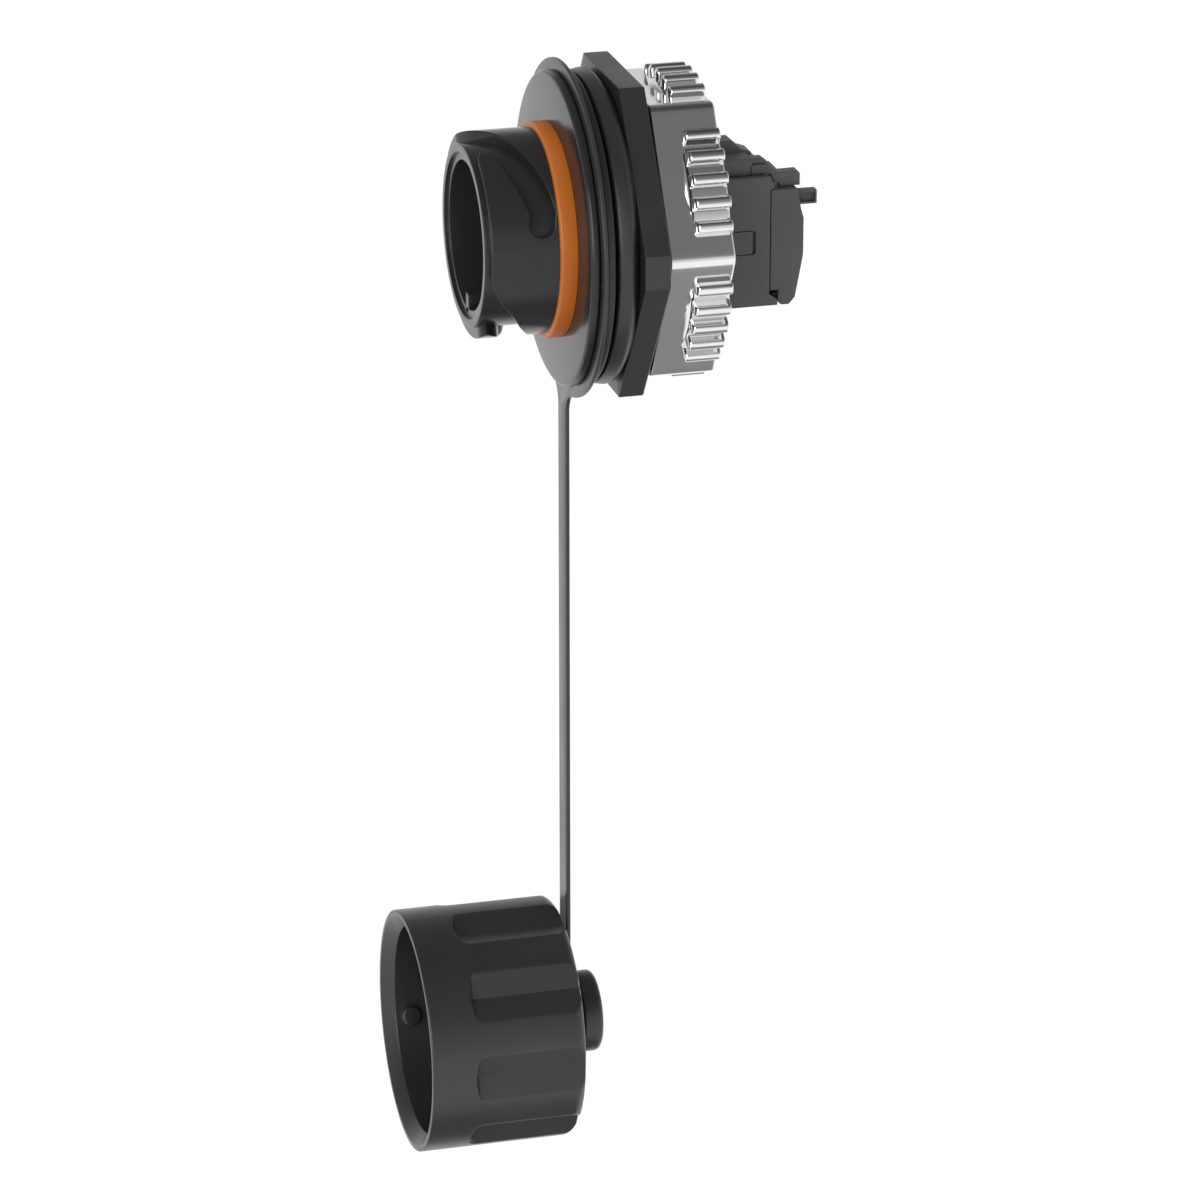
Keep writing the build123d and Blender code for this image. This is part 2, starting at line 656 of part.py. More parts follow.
def make_module_lower():
    """Lower module shell: tall tray with the side latches, the heel lip and the hinge knuckle."""
    front = COLLAR_REAR + END_GAP
    lip_y = COVER_PIVOT_Y - COVER_HEEL_R - END_GAP
    side = Polygon(
        (front, MODULE_BOTTOM),
        (lip_y, MODULE_BOTTOM),
        (lip_y, MODULE_FLOOR - LIP_DROP),
        (MODULE_REAR, MODULE_FLOOR),
        (MODULE_REAR, COVER_TOP),
        (MODULE_REAR + MODULE_REAR_SLANT, COVER_TOP + MODULE_SLANT_RISE),
        (MODULE_REAR, MODULE_PART_LINE),
        (front, MODULE_PART_LINE),
        align=None,
    )
    shell = sideways(side, -MODULE_HALF_WIDTH, MODULE_HALF_WIDTH)
    room_rear = MODULE_REAR + MODULE_REAR_SLANT + 1
    shell -= box_between(
        -MODULE_INNER, MODULE_INNER, front - 1, room_rear, MODULE_FLOOR, MODULE_PART_LINE + 1
    )
    shell -= can_room()
    for sign in (-1, 1):
        shell -= latch_slots(sign)
    knuckle_end = MODULE_INNER - SIDE_GAP
    web_height = KNUCKLE_R + KNUCKLE_WEB_DROP
    web_z = COVER_PIVOT_Z + KNUCKLE_R - web_height / 2
    web = Pos(COVER_PIVOT_Y - KNUCKLE_WEB / 2, web_z) * Rectangle(KNUCKLE_WEB, web_height)
    knuckle = Pos(COVER_PIVOT_Y, COVER_PIVOT_Z) * Circle(KNUCKLE_R) + web
    shell += sideways(knuckle, -knuckle_end, knuckle_end)
    socket = Pos(COVER_PIVOT_Y, COVER_PIVOT_Z) * Circle(TRUNNION_R + RUNNING_GAP)
    socket_floor = MODULE_INNER - TRUNNION_LENGTH - SIDE_GAP
    shell -= sideways(socket, socket_floor, knuckle_end + 0.1)
    shell -= sideways(socket, -knuckle_end - 0.1, -socket_floor)
    return shell


def latch_slots(sign):
    """Cut around the three free sides of the latch tongue in one side wall."""
    front = LATCH_REAR - LATCH_LENGTH
    depth = 2 * MODULE_WALL
    slot_rear = LATCH_REAR + LATCH_REAR_SLOT
    frame = box_between(0, depth, front, slot_rear, LATCH_BOTTOM - LATCH_SLOT, LATCH_TOP + LATCH_SLOT)
    frame -= box_between(-1, depth + 1, front - 1, LATCH_REAR, LATCH_BOTTOM, LATCH_TOP)
    start = MODULE_INNER - MODULE_WALL / 2
    return Pos(start if sign > 0 else -start - depth, 0, 0) * frame


def make_module_upper():
    """Upper module shell: low lid, raised ridge on the near side and the hook at its rear."""
    front = COLLAR_REAR + END_GAP
    w = MODULE_HALF_WIDTH
    near = w - RIDGE_SET_IN
    far = near - RIDGE_WIDTH
    section = Polygon(
        (-w, LID_BASE),
        (near, LID_BASE),
        (near, RIDGE_TOP),
        (far, RIDGE_TOP),
        (far - RIDGE_FAR_SLANT, RIDGE_TOP - RIDGE_FAR_SLANT),
        (-w + RIDGE_FAR_SLANT, LID_BASE + LID_CROWN),
        (-w, LID_BASE + LID_EDGE),
        align=None,
    )
    lid = along(section, front, RIDGE_BACK)
    arm_end = MODULE_REAR + ARM_REACH
    arm_base = COVER_TOP + MODULE_SLANT_RISE + PART_GAP
    arm_top = LID_BASE + ARM_HEIGHT
    neck_top = LID_BASE + ARM_NECK
    arm = Polygon(
        (RIDGE_BACK, LID_BASE),
        (MODULE_REAR + PART_GAP, LID_BASE),
        (MODULE_REAR + MODULE_REAR_SLANT + PART_GAP, arm_base),
        (arm_end, arm_base),
        (arm_end, neck_top - ARM_CORNER),
        (arm_end - ARM_CORNER, neck_top),
        (MODULE_REAR + ARM_SLOPE_LENGTH, neck_top),
        (MODULE_REAR, arm_top),
        (RIDGE_BACK, arm_top),
        align=None,
    )
    lid += sideways(arm, near - ARM_WIDTH, near)
    wedge_base = RIDGE_TOP - WEDGE_THICK
    wedge_root = RIDGE_BACK - WEDGE_THICK
    wedge = Polygon(
        (wedge_root, wedge_base),
        (wedge_root, RIDGE_TOP),
        (RIDGE_BACK + WEDGE_LENGTH, RIDGE_TOP),
        (RIDGE_BACK + WEDGE_LENGTH + WEDGE_SLOPE, wedge_base),
        align=None,
    )
    lid += sideways(wedge, near - ARM_WIDTH, near)
    floor_top = LID_BASE + LID_FLOOR_THICK
    inner_near = near - ARM_WIDTH
    lid += box_between(-MODULE_INNER, inner_near, RIDGE_BACK - 1, MODULE_REAR, LID_BASE, floor_top)
    return lid - can_room()


def cover_outline():
    """Side outline of the rear cover, from the notch round to the heel."""
    front = MODULE_REAR + PART_GAP
    heel_front = COVER_PIVOT_Y - COVER_HEEL_R
    heel_bottom = COVER_PIVOT_Z - COVER_HEEL_R
    widest = (COVER_REAR, COVER_WIDEST_Z)
    belly = (COVER_REAR - COVER_BELLY_STEP, COVER_BELLY_Z)
    foot = (COVER_REAR - COVER_FOOT_STEP, COVER_FOOT_Z)
    front_line = Polyline(
        (heel_front, COVER_PIVOT_Z),
        (heel_front, NOTCH_TOP),
        (front, NOTCH_TOP),
        (front, COVER_TOP),
        (COVER_REAR - COVER_TOP_STEP, COVER_TOP),
        (COVER_REAR - COVER_SHOULDER_STEP, COVER_SHOULDER_Z),
        widest,
    )
    back = ThreePointArc(widest, belly, foot)
    bottom_line = Polyline(
        foot,
        (COVER_REAR - COVER_FOOT_STEP - COVER_FOOT_CORNER, heel_bottom),
        (COVER_PIVOT_Y, heel_bottom),
    )
    heel = CenterArc((COVER_PIVOT_Y, COVER_PIVOT_Z), COVER_HEEL_R, 180, 90)
    return make_face([front_line, back, bottom_line, heel])


def make_rear_cover():
    """Hinged cover with the cable entry, the lifting tab and the trunnions at its heel."""
    w = MODULE_HALF_WIDTH
    inner = w - COVER_WALL
    cover = sideways(cover_outline(), -w, w)
    room_rear = COVER_REAR - COVER_FOOT_STEP - COVER_WALL
    room_top = COVER_TOP - COVER_WALL
    cover -= box_between(-inner, inner, MODULE_REAR - 1, room_rear, MODULE_BOTTOM - 1, room_top)
    opening = Pos(0, CABLE_Z) * Circle(CABLE_R)
    cover -= along(opening, MODULE_REAR, COVER_REAR + 1)
    pivot = Pos(COVER_PIVOT_Y, COVER_PIVOT_Z)
    cover -= sideways(pivot * Circle(KNUCKLE_R + SLIP_GAP), -inner, inner)
    tab_x = w - TAB_SET_IN
    tab_root = COVER_REAR - COVER_SHOULDER_STEP - TAB_ROOT
    tab_end = COVER_REAR - COVER_SHOULDER_STEP + TAB_LENGTH
    cover += box_between(tab_x - TAB_WIDTH, tab_x, tab_root, tab_end, TAB_BOTTOM, TAB_TOP)
    trunnion = pivot * Circle(TRUNNION_R)
    cover += sideways(trunnion, inner - TRUNNION_LENGTH, inner + TRUNNION_ROOT)
    cover += sideways(trunnion, -inner - TRUNNION_ROOT, -inner + TRUNNION_LENGTH)
    return cover


def make_wire_guide():
    """Grooved plate behind the terminals that leads the wires to the cable entry."""
    half_w = MODULE_INNER - SIDE_GAP
    rear = GUIDE_FRONT + GUIDE_LENGTH
    head = MODULE_PART_LINE - GUIDE_HEAD_GAP
    plate = box_between(-half_w, half_w, GUIDE_FRONT, rear, GUIDE_FOOT, head)
    plate -= along(Pos(0, CABLE_Z) * Circle(CABLE_R), GUIDE_FRONT - 1, rear + 1)
    half = GUIDE_GROOVE_WIDTH / 2
    deep = GUIDE_GROOVE_DEPTH
    for i in range(CONTACT_COUNT):
        x, z = blade_place(i)
        groove = box_between(-deep, deep, GUIDE_FRONT - 1, rear + 1, z - half, z + half)
        plate -= Pos(half_w if x > 0 else -half_w, 0, 0) * groove
    return plate


def grip_cutter():
    """One recess of the cap's grip: a shallow V, open at the rear."""
    bottom = CAP_R - GRIP_DEPTH
    half = GRIP_REACH / tan(radians(GRIP_SLOPE))
    section = Polygon(
        (bottom, 0), (bottom + GRIP_REACH, -half), (bottom + GRIP_REACH, half), align=None
    )
    return along(section, CAP_REAR - GRIP_LENGTH, CAP_REAR + 1)


def make_cap_body():
    """Protective cap: gripped shell, bayonet lugs inside, neck and knob for the tether."""
    e = CAP_EDGE_R
    k = KNOB_EDGE_R
    cap = turned(
        (0, CAP_REAR - CAP_END_WALL),
        (CAP_BORE_R, CAP_REAR - CAP_END_WALL),
        (CAP_BORE_R, CAP_FRONT + CAP_RIM_DEPTH),
        (CAP_RIM_R, CAP_FRONT),
        (CAP_R, CAP_FRONT),
        (CAP_R, CAP_REAR - e),
        (CAP_R - e * 0.13, CAP_REAR - e * 0.5),
        (CAP_R - e * 0.5, CAP_REAR - e * 0.13),
        (CAP_R - e, CAP_REAR),
        (NECK_R, CAP_REAR),
        (NECK_R, NECK_END),
        (KNOB_R - k, NECK_END),
        (KNOB_R, NECK_END + k),
        (KNOB_R, KNOB_END - k),
        (KNOB_R - k * 0.35, KNOB_END - k * 0.35),
        (KNOB_R - k, KNOB_END),
        (0, KNOB_END),
    )
    cutter = grip_cutter()
    for i in range(GRIP_COUNT):
        cap -= at_angle(GRIP_PHASE + 360 / GRIP_COUNT * i) * cutter
    lug = Pos(CAP_BORE_R, CAP_FRONT + LUG_DEPTH, 0) * Rotation(0, 90, 0)
    lug = lug * Cylinder(LUG_R, 2 * LUG_HEIGHT)
    for turn in SLOT_TURNS:
        cap += at_angle(LUG_PHASE + turn) * lug
    return Pos(0, 0, -CAP_DROP) * cap


def make_cap_tether():
    """Flat moulded strap with a wide ring round the hub and a small eye round the cap's neck."""
    strap_length = CAP_DROP - TETHER_RING_R / 2 - TETHER_EYE_R / 2
    strap_middle = -(TETHER_RING_R + strap_length) / 2
    eye_top = -CAP_DROP + TETHER_EYE_R
    outline = Circle(TETHER_RING_R) + Pos(0, strap_middle) * Rectangle(TETHER_WIDTH, strap_length)
    outline += Pos(0, -CAP_DROP) * Circle(TETHER_EYE_R)
    upper = [v for v in outline.vertices() if eye_top + TETHER_FILLET < v.Y < 0]
    outline = fillet(upper, TETHER_FILLET)
    lower = [v for v in outline.vertices() if -CAP_DROP < v.Y < eye_top]
    outline = fillet(lower, TETHER_FILLET / 2)
    outline -= Circle(HUB_R + RUNNING_GAP)
    outline -= Pos(0, -CAP_DROP) * Circle(NECK_R + RUNNING_GAP)
    return along(outline, TETHER_FRONT, TETHER_REAR)


def make_nodes():
    """Every sub-part of the jack by its node name."""
    nodes = {
        "jack_body": make_jack_body(),
        "coupling_seal": make_coupling_seal(),
        "panel_seal": make_panel_seal(),
        "cap_tether": make_cap_tether(),
        "panel_nut": make_panel_nut(),
        "module_nut": make_module_nut(),
        "insert_seal": make_insert_seal(),
        "socket_insert": make_socket_insert(),
        "retainer_sleeve": make_retainer_sleeve(),
        "socket_housing": make_socket_housing(),
        "shield_can": make_shield_can(),
        "contact_carrier": make_contact_carrier(),
        "circuit_board": make_circuit_board(),
        "idc_block": make_idc_block(),
        "wire_guide": make_wire_guide(),
        "module_lower": make_module_lower(),
        "module_upper": make_module_upper(),
        "rear_cover": make_rear_cover(),
        "cap_body": make_cap_body(),
    }
    for i in range(CONTACT_COUNT):
        nodes[f"contact_spring_{i + 1}"] = make_contact(i)
        nodes[f"idc_terminal_{i + 1}"] = make_idc_blade(i)
    return nodes


os.makedirs("parts", exist_ok=True)
for name, shape in make_nodes().items():
    export_step(shape, f"parts/{name}.step")
    print(name, round(shape.volume, 2))
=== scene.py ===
"""Dressed model of a panel-mount ethernet jack with its tethered cap, in a plain white studio."""

import json
import logging
import math
from dataclasses import dataclass
from enum import Enum
from typing import Callable, Sequence

import bmesh
import bpy
from mathutils import Matrix, Vector
from mathutils.geometry import delaunay_2d_cdt


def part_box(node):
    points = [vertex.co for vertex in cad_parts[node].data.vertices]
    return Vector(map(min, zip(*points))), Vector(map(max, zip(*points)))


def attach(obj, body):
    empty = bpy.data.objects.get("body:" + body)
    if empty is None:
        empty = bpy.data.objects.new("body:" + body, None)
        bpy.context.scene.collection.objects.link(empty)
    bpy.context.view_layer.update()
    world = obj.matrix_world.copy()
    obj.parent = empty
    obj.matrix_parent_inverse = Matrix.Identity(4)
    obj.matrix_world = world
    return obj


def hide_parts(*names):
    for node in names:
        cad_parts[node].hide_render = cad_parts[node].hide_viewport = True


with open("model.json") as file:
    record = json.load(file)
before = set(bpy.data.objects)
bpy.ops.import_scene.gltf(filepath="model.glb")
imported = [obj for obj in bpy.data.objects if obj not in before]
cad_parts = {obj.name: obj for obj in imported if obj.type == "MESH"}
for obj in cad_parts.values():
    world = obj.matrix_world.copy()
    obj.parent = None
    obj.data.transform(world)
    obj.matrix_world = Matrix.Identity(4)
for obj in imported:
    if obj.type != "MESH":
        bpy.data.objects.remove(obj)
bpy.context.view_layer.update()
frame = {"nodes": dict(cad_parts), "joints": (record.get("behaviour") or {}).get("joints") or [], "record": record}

log = logging.getLogger("jack")

MM = 0.001
SMOOTH_ANGLE = math.radians(32)
MERGE_DISTANCE = 2e-8  # points closer than this become one, in metres
ON_AXIS = 1e-6  # a radius below this is a point on the axis, in mm
HOLD = 0.05  # distance of the row that keeps a flat face flat beside a rounded edge, in mm
THREAD_GAP = 0.06  # clearance of the nuts on the shank, in mm
ROUND_STEPS = 256  # steps round the large turned pieces

Point2 = tuple[float, float]
Point3 = tuple[float, float, float]


class Body(Enum):
    """Moving bodies of the jack."""

    JACK = "jack"
    TETHER = "tether"
    CAP = "cap"
    PANEL_NUT = "panel_nut"
    MODULE_NUT = "module_nut"
    REAR_COVER = "rear_cover"


class Side(Enum):
    """Direction in which an outline is swept."""

    ALONG_X = "x"
    ALONG_Y = "y"


def node_span(node: str) -> tuple[Vector, Vector]:
    """Corners of a frame node in millimetres.

    Args:
        node: Name of the node.

    Returns:
        Lowest and highest corner.
    """
    low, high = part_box(node)
    return low / MM, high / MM


# Outlines


def between(t: float, p: float, q: float, r: float, s: float) -> float:
    """Value at share t of a smooth curve from q to r, with p before them and s after."""
    bend = (2 * p - 5 * q + 4 * r - s) * t * t
    return 0.5 * (2 * q + (r - p) * t + bend + (3 * q - p - 3 * r + s) * t**3)


def smooth_path(points: Sequence[Point2], per_span: int = 6) -> list[Point2]:
    """Run a smooth curve through points.

    Args:
        points: Points that the curve passes, first and last included.
        per_span: Number of steps between two points.

    Returns:
        Points along the curve.
    """
    padded = [points[0], *points, points[-1]]
    path: list[Point2] = []
    for near in zip(padded, padded[1:], padded[2:], padded[3:]):
        for i in range(per_span):
            path.append(tuple(between(i / per_span, *values) for values in zip(*near)))
    path.append(points[-1])
    return path


@dataclass(frozen=True)
class Outline:
    """Closed polygon with rounded corners.

    Attributes:
        corners: Both coordinates and the round radius of each corner, in order.
        chords: Number of chords in each round.
        fill: Number of extra points on each straight side.
    """

    corners: tuple[Point3, ...]
    chords: int = 4
    fill: int = 0

    def loop(self, depth: float = 0.0) -> list[Point2]:
        """Points of the outline, moved inwards.

        Args:
            depth: Distance of the move.

        Returns:
            Points, equally many at every depth.
        """
        flat = [Vector((u, v)) for u, v, _ in self.corners]
        count = len(flat)
        sense = 1 if signed_area(flat) > 0 else -1
        ways = [(flat[(i + 1) % count] - flat[i]).normalized() for i in range(count)]
        sides = [Vector((-way.y, way.x)) * sense for way in ways]
        moved = [
            flat[i] + (sides[i - 1] + sides[i]) * (depth / (1 + sides[i - 1].dot(sides[i])))
            for i in range(count)
        ]
        rounds: list[list[Vector]] = []
        for i, here in enumerate(moved):
            radius = self.corners[i][2]
            if radius <= 0:
                rounds.append([here])
                continue
            bend = math.atan2(ways[i - 1].cross(ways[i]), ways[i - 1].dot(ways[i]))
            radius = max(radius - depth, 0.0) if bend * sense > 0 else radius + depth
            room = min((here - moved[i - 1]).length, (moved[(i + 1) % count] - here).length)
            reach = min(radius * math.tan(abs(bend) / 2), 0.49 * room)
            radius = reach / math.tan(abs(bend) / 2)
            start = here - ways[i - 1] * reach
            side = Vector((-ways[i - 1].y, ways[i - 1].x)) * math.copysign(radius, bend)
            turns = [bend * k / self.chords for k in range(self.chords + 1)]
            rounds.append([start + side - Matrix.Rotation(a, 2) @ side for a in turns])
        points: list[Point2] = []
        for here, after in zip(rounds, [*rounds[1:], rounds[0]]):
            points += [tuple(p) for p in here]
            steps = self.fill + 1
            points += [tuple(here[-1].lerp(after[0], k / steps)) for k in range(1, steps)]
        return points


def rounded(corners: Sequence[Point3], chords: int = 4) -> list[Point2]:
    """Points of a closed polygon with rounded corners."""
    return Outline(tuple(corners), chords).loop()


def arc(centre: Point2, radius: float, start: float, end: float, steps: int) -> list[Point2]:
    """Points on a circular arc, angles in degrees."""
    angles = [math.radians(start + (end - start) * i / steps) for i in range(steps + 1)]
    return [(centre[0] + radius * math.cos(a), centre[1] + radius * math.sin(a)) for a in angles]


def quarter_turn(steps: int) -> list[float]:
    """Angles from 0 to a right angle, in radians."""
    return [math.pi / 2 * i / steps for i in range(steps + 1)]


def shifted(corners: Sequence[Point3], u: float, v: float) -> list[Point3]:
    """Outline corners moved to a new origin, with their rounds as they were."""
    return [(u + a, v + b, radius) for a, b, radius in corners]


def sharp(points: Sequence[Point2], chords: int = 4) -> Outline:
    """Outline through points, without rounds."""
    return Outline(tuple((u, v, 0.0) for u, v in points), chords)


def signed_area(outline: Sequence[Point2]) -> float:
    """Area of an outline, positive where it runs anticlockwise."""
    pairs = zip(outline, [*outline[1:], outline[0]])
    return sum(a[0] * b[1] - a[1] * b[0] for a, b in pairs) / 2


def smooth_min(a: float, b: float, width: float) -> float:
    """Lower of two values with a soft change between them."""
    h = max(width - abs(a - b), 0) / width
    return min(a, b) - h * h * width / 4


# Mesh building


class Draft:
    """Mesh under construction, in millimetres."""

    def __init__(self) -> None:
        """Start without points or faces."""
        self.points: list[Point3] = []
        self.faces: list[tuple[int, ...]] = []

    def ring(self, points: Sequence[Point3]) -> list[int]:
        """Add points and return their numbers."""
        start = len(self.points)
        self.points.extend(points)
        return list(range(start, start + len(points)))

    def bridge(self, a: Sequence[int], b: Sequence[int], closed: bool = True) -> None:
        """Join two rings of equal length with a band of faces."""
        count = len(a)
        for i in range(count if closed else count - 1):
            j = (i + 1) % count
            self.faces.append((a[i], a[j], b[j], b[i]))

    def lathe(
        self, profile: Sequence[Point2], segments: int = 192, centre: Point2 = (0.0, 0.0),
    ) -> None:
        """Turn a closed profile of (radius, y) points about an axis parallel to Y.

        Args:
            profile: Closed outline, no point on the axis except with radius 0.
            segments: Number of steps round the axis.
            centre: X and Z of the axis.
        """
        rings: list[list[int]] = []
        for r, y in profile:
            if r < ON_AXIS:
                rings.append(self.ring([(centre[0], y, centre[1])]))
                continue
            turns = [2 * math.pi * i / segments for i in range(segments)]
            x, z = centre
            around = [(x + r * math.cos(a), y, z + r * math.sin(a)) for a in turns]
            rings.append(self.ring(around))
        for a, b in zip(rings, [*rings[1:], rings[0]]):
            if len(a) == 1 and len(b) == 1:
                continue
            if len(a) == 1:
                self.faces.extend((a[0], b[i], b[(i + 1) % segments]) for i in range(segments))
            elif len(b) == 1:
                self.faces.extend((b[0], a[i], a[(i + 1) % segments]) for i in range(segments))
            else:
                self.bridge(a, b)

    def rod(self, r: float, low: float, high: float, steps: int, at: Point2 = (0.0, 0.0)) -> None:
        """Add a plain rod along Y, such as a drill."""
        self.lathe([(0, low), (r, low), (r, high), (0, high)], steps, at)

    @staticmethod
    def _edge_levels(start: float, end: float, edges: Point2, steps: int) -> list[Point2]:
        """Stations and depths of a solid whose end edges are rounded.

        Args:
            start: Lower end of the solid.
            end: Upper end of the solid.
            edges: Radius of the edge at the lower and at the upper end.
            steps: Chords in each rounded edge.

        Returns:
            Station and inward depth of each ring.
        """
        low, high = edges
        turns = quarter_turn(steps)
        hold = min(HOLD, (end - start - low - high) / 3)
        levels = [(start + low * (1 - math.cos(a)), low * (1 - math.sin(a))) for a in turns]
        levels += [(start + low + hold, 0.0), (end - high - hold, 0.0)]
        turns.reverse()
        levels += [(end - high * (1 - math.cos(a)), high * (1 - math.sin(a))) for a in turns]
        return levels

    def prism(
        self, outline: Outline, side: Side, start: float, end: float, edge: float = 0.12,
        steps: int = 3,
    ) -> None:
        """Sweep an outline into a solid whose end edges are rounded.

        Args:
            outline: (y, z) outline for a sweep along X, (x, z) outline for one along Y.
            side: Direction of the sweep.
            start: Lower end of the sweep.
            end: Upper end of the sweep.
            edge: Radius of the end edges.
            steps: Chords in each rounded edge.
        """
        rings: list[list[int]] = []
        for level, depth in self._edge_levels(start, end, (edge, edge), steps):
            loop = outline.loop(depth)
            if side is Side.ALONG_X:
                rings.append(self.ring([(level, u, v) for u, v in loop]))
            else:
                rings.append(self.ring([(u, level, v) for u, v in loop]))
        for a, b in zip(rings, rings[1:]):
            self.bridge(a, b)
        self.faces.append(tuple(rings[0]))
        self.faces.append(tuple(reversed(rings[-1])))

    def collar(
        self, outline: Outline, hole: Sequence[Point2], low: float, high: float, edges: Point2,
        steps: int = 4,
    ) -> None:
        """Ring-shaped solid along Y with a round hole and an outline of flat sides.

        Args:
            outline: (x, z) outline of the outside.
            hole: Radius and Y of each step of the hole, from the rear face to the front face.
            low: Y of the front face.
            high: Y of the rear face.
            edges: Radius of the outer edge at the front and at the rear.
            steps: Chords in each rounded edge.
        """
        rings = [
            [(u, y, v) for u, v in outline.loop(depth)]
            for y, depth in self._edge_levels(low, high, edges, steps)
        ]
        turns = [math.atan2(v, u) for u, v in outline.loop()]
        rings += [[(r * math.cos(a), y, r * math.sin(a)) for a in turns] for r, y in hole]
        numbers = self.grid(rings)
        self.bridge(numbers[-1], numbers[0])

    def block(self, low: Point3, high: Point3, edge: float = 0.1, corner: float = 0.1) -> None:
        """Add a block between two corners, its edges rounded at both X ends and along X."""
        ends = ((low[1], low[2]), (high[1], low[2]), (high[1], high[2]), (low[1], high[2]))
        outline = Outline(tuple((y, z, corner) for y, z in ends), 3)
        self.prism(outline, Side.ALONG_X, low[0], high[0], edge, 2)

    def grid(self, rings: Sequence[Sequence[Point3]]) -> list[list[int]]:
        """Add closed rings joined one to the next, and return their numbers."""
        numbers = [self.ring(ring) for ring in rings]
        for a, b in zip(numbers, numbers[1:]):
            self.bridge(a, b)
        return numbers

    def mesh_object(self, name: str, material: bpy.types.Material) -> bpy.types.Object:
        """Make a Blender object with outward faces and smooth shading.

        Args:
            name: Name of the object.
            material: Finish of every face.

        Returns:
            The new object, at the origin.
        """
        mesh = bpy.data.meshes.new(name)
        scaled = [(x * MM, y * MM, z * MM) for x, y, z in self.points]
        mesh.from_pydata(scaled, [], self.faces)
        work = bmesh.new()
        work.from_mesh(mesh)
        bmesh.ops.remove_doubles(work, verts=work.verts, dist=MERGE_DISTANCE)
        bmesh.ops.recalc_face_normals(work, faces=work.faces)
        work.to_mesh(mesh)
        work.free()
        mesh.materials.append(material)
        obj = bpy.data.objects.new(name, mesh)
        bpy.context.scene.collection.objects.link(obj)
        shade(obj)
        return obj


def shade(obj: bpy.types.Object, angle: float = SMOOTH_ANGLE) -> None:
    """Shade a piece smooth, with its hard edges kept sharp."""
    obj.data.polygons.foreach_set("use_smooth", [True] * len(obj.data.polygons))
    obj.data.set_sharp_from_angle(angle=angle)


def bake_modifiers(obj: bpy.types.Object) -> None:
    """Turn a piece's modifiers into plain mesh.

    Args:
        obj: Piece that keeps its name and loses its modifiers.
    """
    graph = bpy.context.evaluated_depsgraph_get()
    mesh = bpy.data.meshes.new_from_object(obj.evaluated_get(graph))
    obj.modifiers.clear()
    old = obj.data
    obj.data = mesh
    bpy.data.meshes.remove(old)


def cut_away(obj: bpy.types.Object, tool: Draft) -> None:
    """Take a tool's solids out of a piece.

    Args:
        obj: Piece that loses material.
        tool: Solids to take away.
    """
    cutter = tool.mesh_object(obj.name + "_tool", obj.data.materials[0])
    modifier = obj.modifiers.new("cut", "BOOLEAN")
    modifier.operation = "DIFFERENCE"
    modifier.solver = "EXACT"
    modifier.object = cutter
    bake_modifiers(obj)
    bpy.data.objects.remove(cutter)
    shade(obj)


def math_node(nodes: bpy.types.Nodes, operation: str) -> bpy.types.Node:
    """Add a Math node that does one operation."""
    node = nodes.new("ShaderNodeMath")
    node.operation = operation
    return node


def set_inputs(node: bpy.types.Node, **values: float) -> None:
    """Set inputs of a node by name, with underscores for spaces."""
    for name, value in values.items():
        node.inputs[name.replace("_", " ")].default_value = value


class TurnedCopies:
    """Geometry Nodes tree that copies a piece round the jack's axis."""

    def __init__(self) -> None:
        """Build the tree with its named inputs."""
        tree = bpy.data.node_groups.new("turned_copies", "GeometryNodeTree")
        face = tree.interface
        face.new_socket("Geometry", in_out="INPUT", socket_type="NodeSocketGeometry")
        kinds = {
            "Count": "NodeSocketInt",
            "Step": "NodeSocketFloat",
            "First": "NodeSocketFloat",
            "Material": "NodeSocketMaterial",
        }
        self.sockets = {
            name: face.new_socket(name, in_out="INPUT", socket_type=kind)
            for name, kind in kinds.items()
        }
        face.new_socket("Geometry", in_out="OUTPUT", socket_type="NodeSocketGeometry")
        nodes, links = tree.nodes, tree.links
        source = nodes.new("NodeGroupInput")
        index = nodes.new("GeometryNodeInputIndex")
        turn = math_node(nodes, "MULTIPLY_ADD")
        rotation = nodes.new("ShaderNodeCombineXYZ")
        points = nodes.new("GeometryNodePoints")
        copies = nodes.new("GeometryNodeInstanceOnPoints")
        realize = nodes.new("GeometryNodeRealizeInstances")
        paint = nodes.new("GeometryNodeSetMaterial")
        result = nodes.new("NodeGroupOutput")
        links.new(index.outputs[0], turn.inputs[0])
        links.new(source.outputs["Step"], turn.inputs[1])
        links.new(source.outputs["First"], turn.inputs[2])
        links.new(turn.outputs[0], rotation.inputs["Y"])
        links.new(source.outputs["Count"], points.inputs["Count"])
        links.new(points.outputs[0], copies.inputs["Points"])
        links.new(source.outputs["Geometry"], copies.inputs["Instance"])
        links.new(rotation.outputs[0], copies.inputs["Rotation"])
        links.new(copies.outputs[0], realize.inputs[0])
        links.new(realize.outputs[0], paint.inputs["Geometry"])
        links.new(source.outputs["Material"], paint.inputs["Material"])
        links.new(paint.outputs[0], result.inputs[0])
        self.tree = tree

    def apply(self, obj: bpy.types.Object, count: int, step: float, first: float = 0.0) -> None:
        """Replace a piece by its copies.

        Args:
            obj: Piece modelled at angle zero about the jack's axis.
            count: Number of copies.
            step: Angle from one copy to the next, in degrees from X towards Z.
            first: Angle of the first copy, in degrees.
        """
        modifier = obj.modifiers.new("copies", "NODES")
        modifier.node_group = self.tree
        values = {
            "Count": count,
            "Step": -math.radians(step),
            "First": -math.radians(first),
            "Material": obj.data.materials[0],
        }
        for name, value in values.items():
            modifier[self.sockets[name].identifier] = value
        bake_modifiers(obj)
        shade(obj)


# Finishes


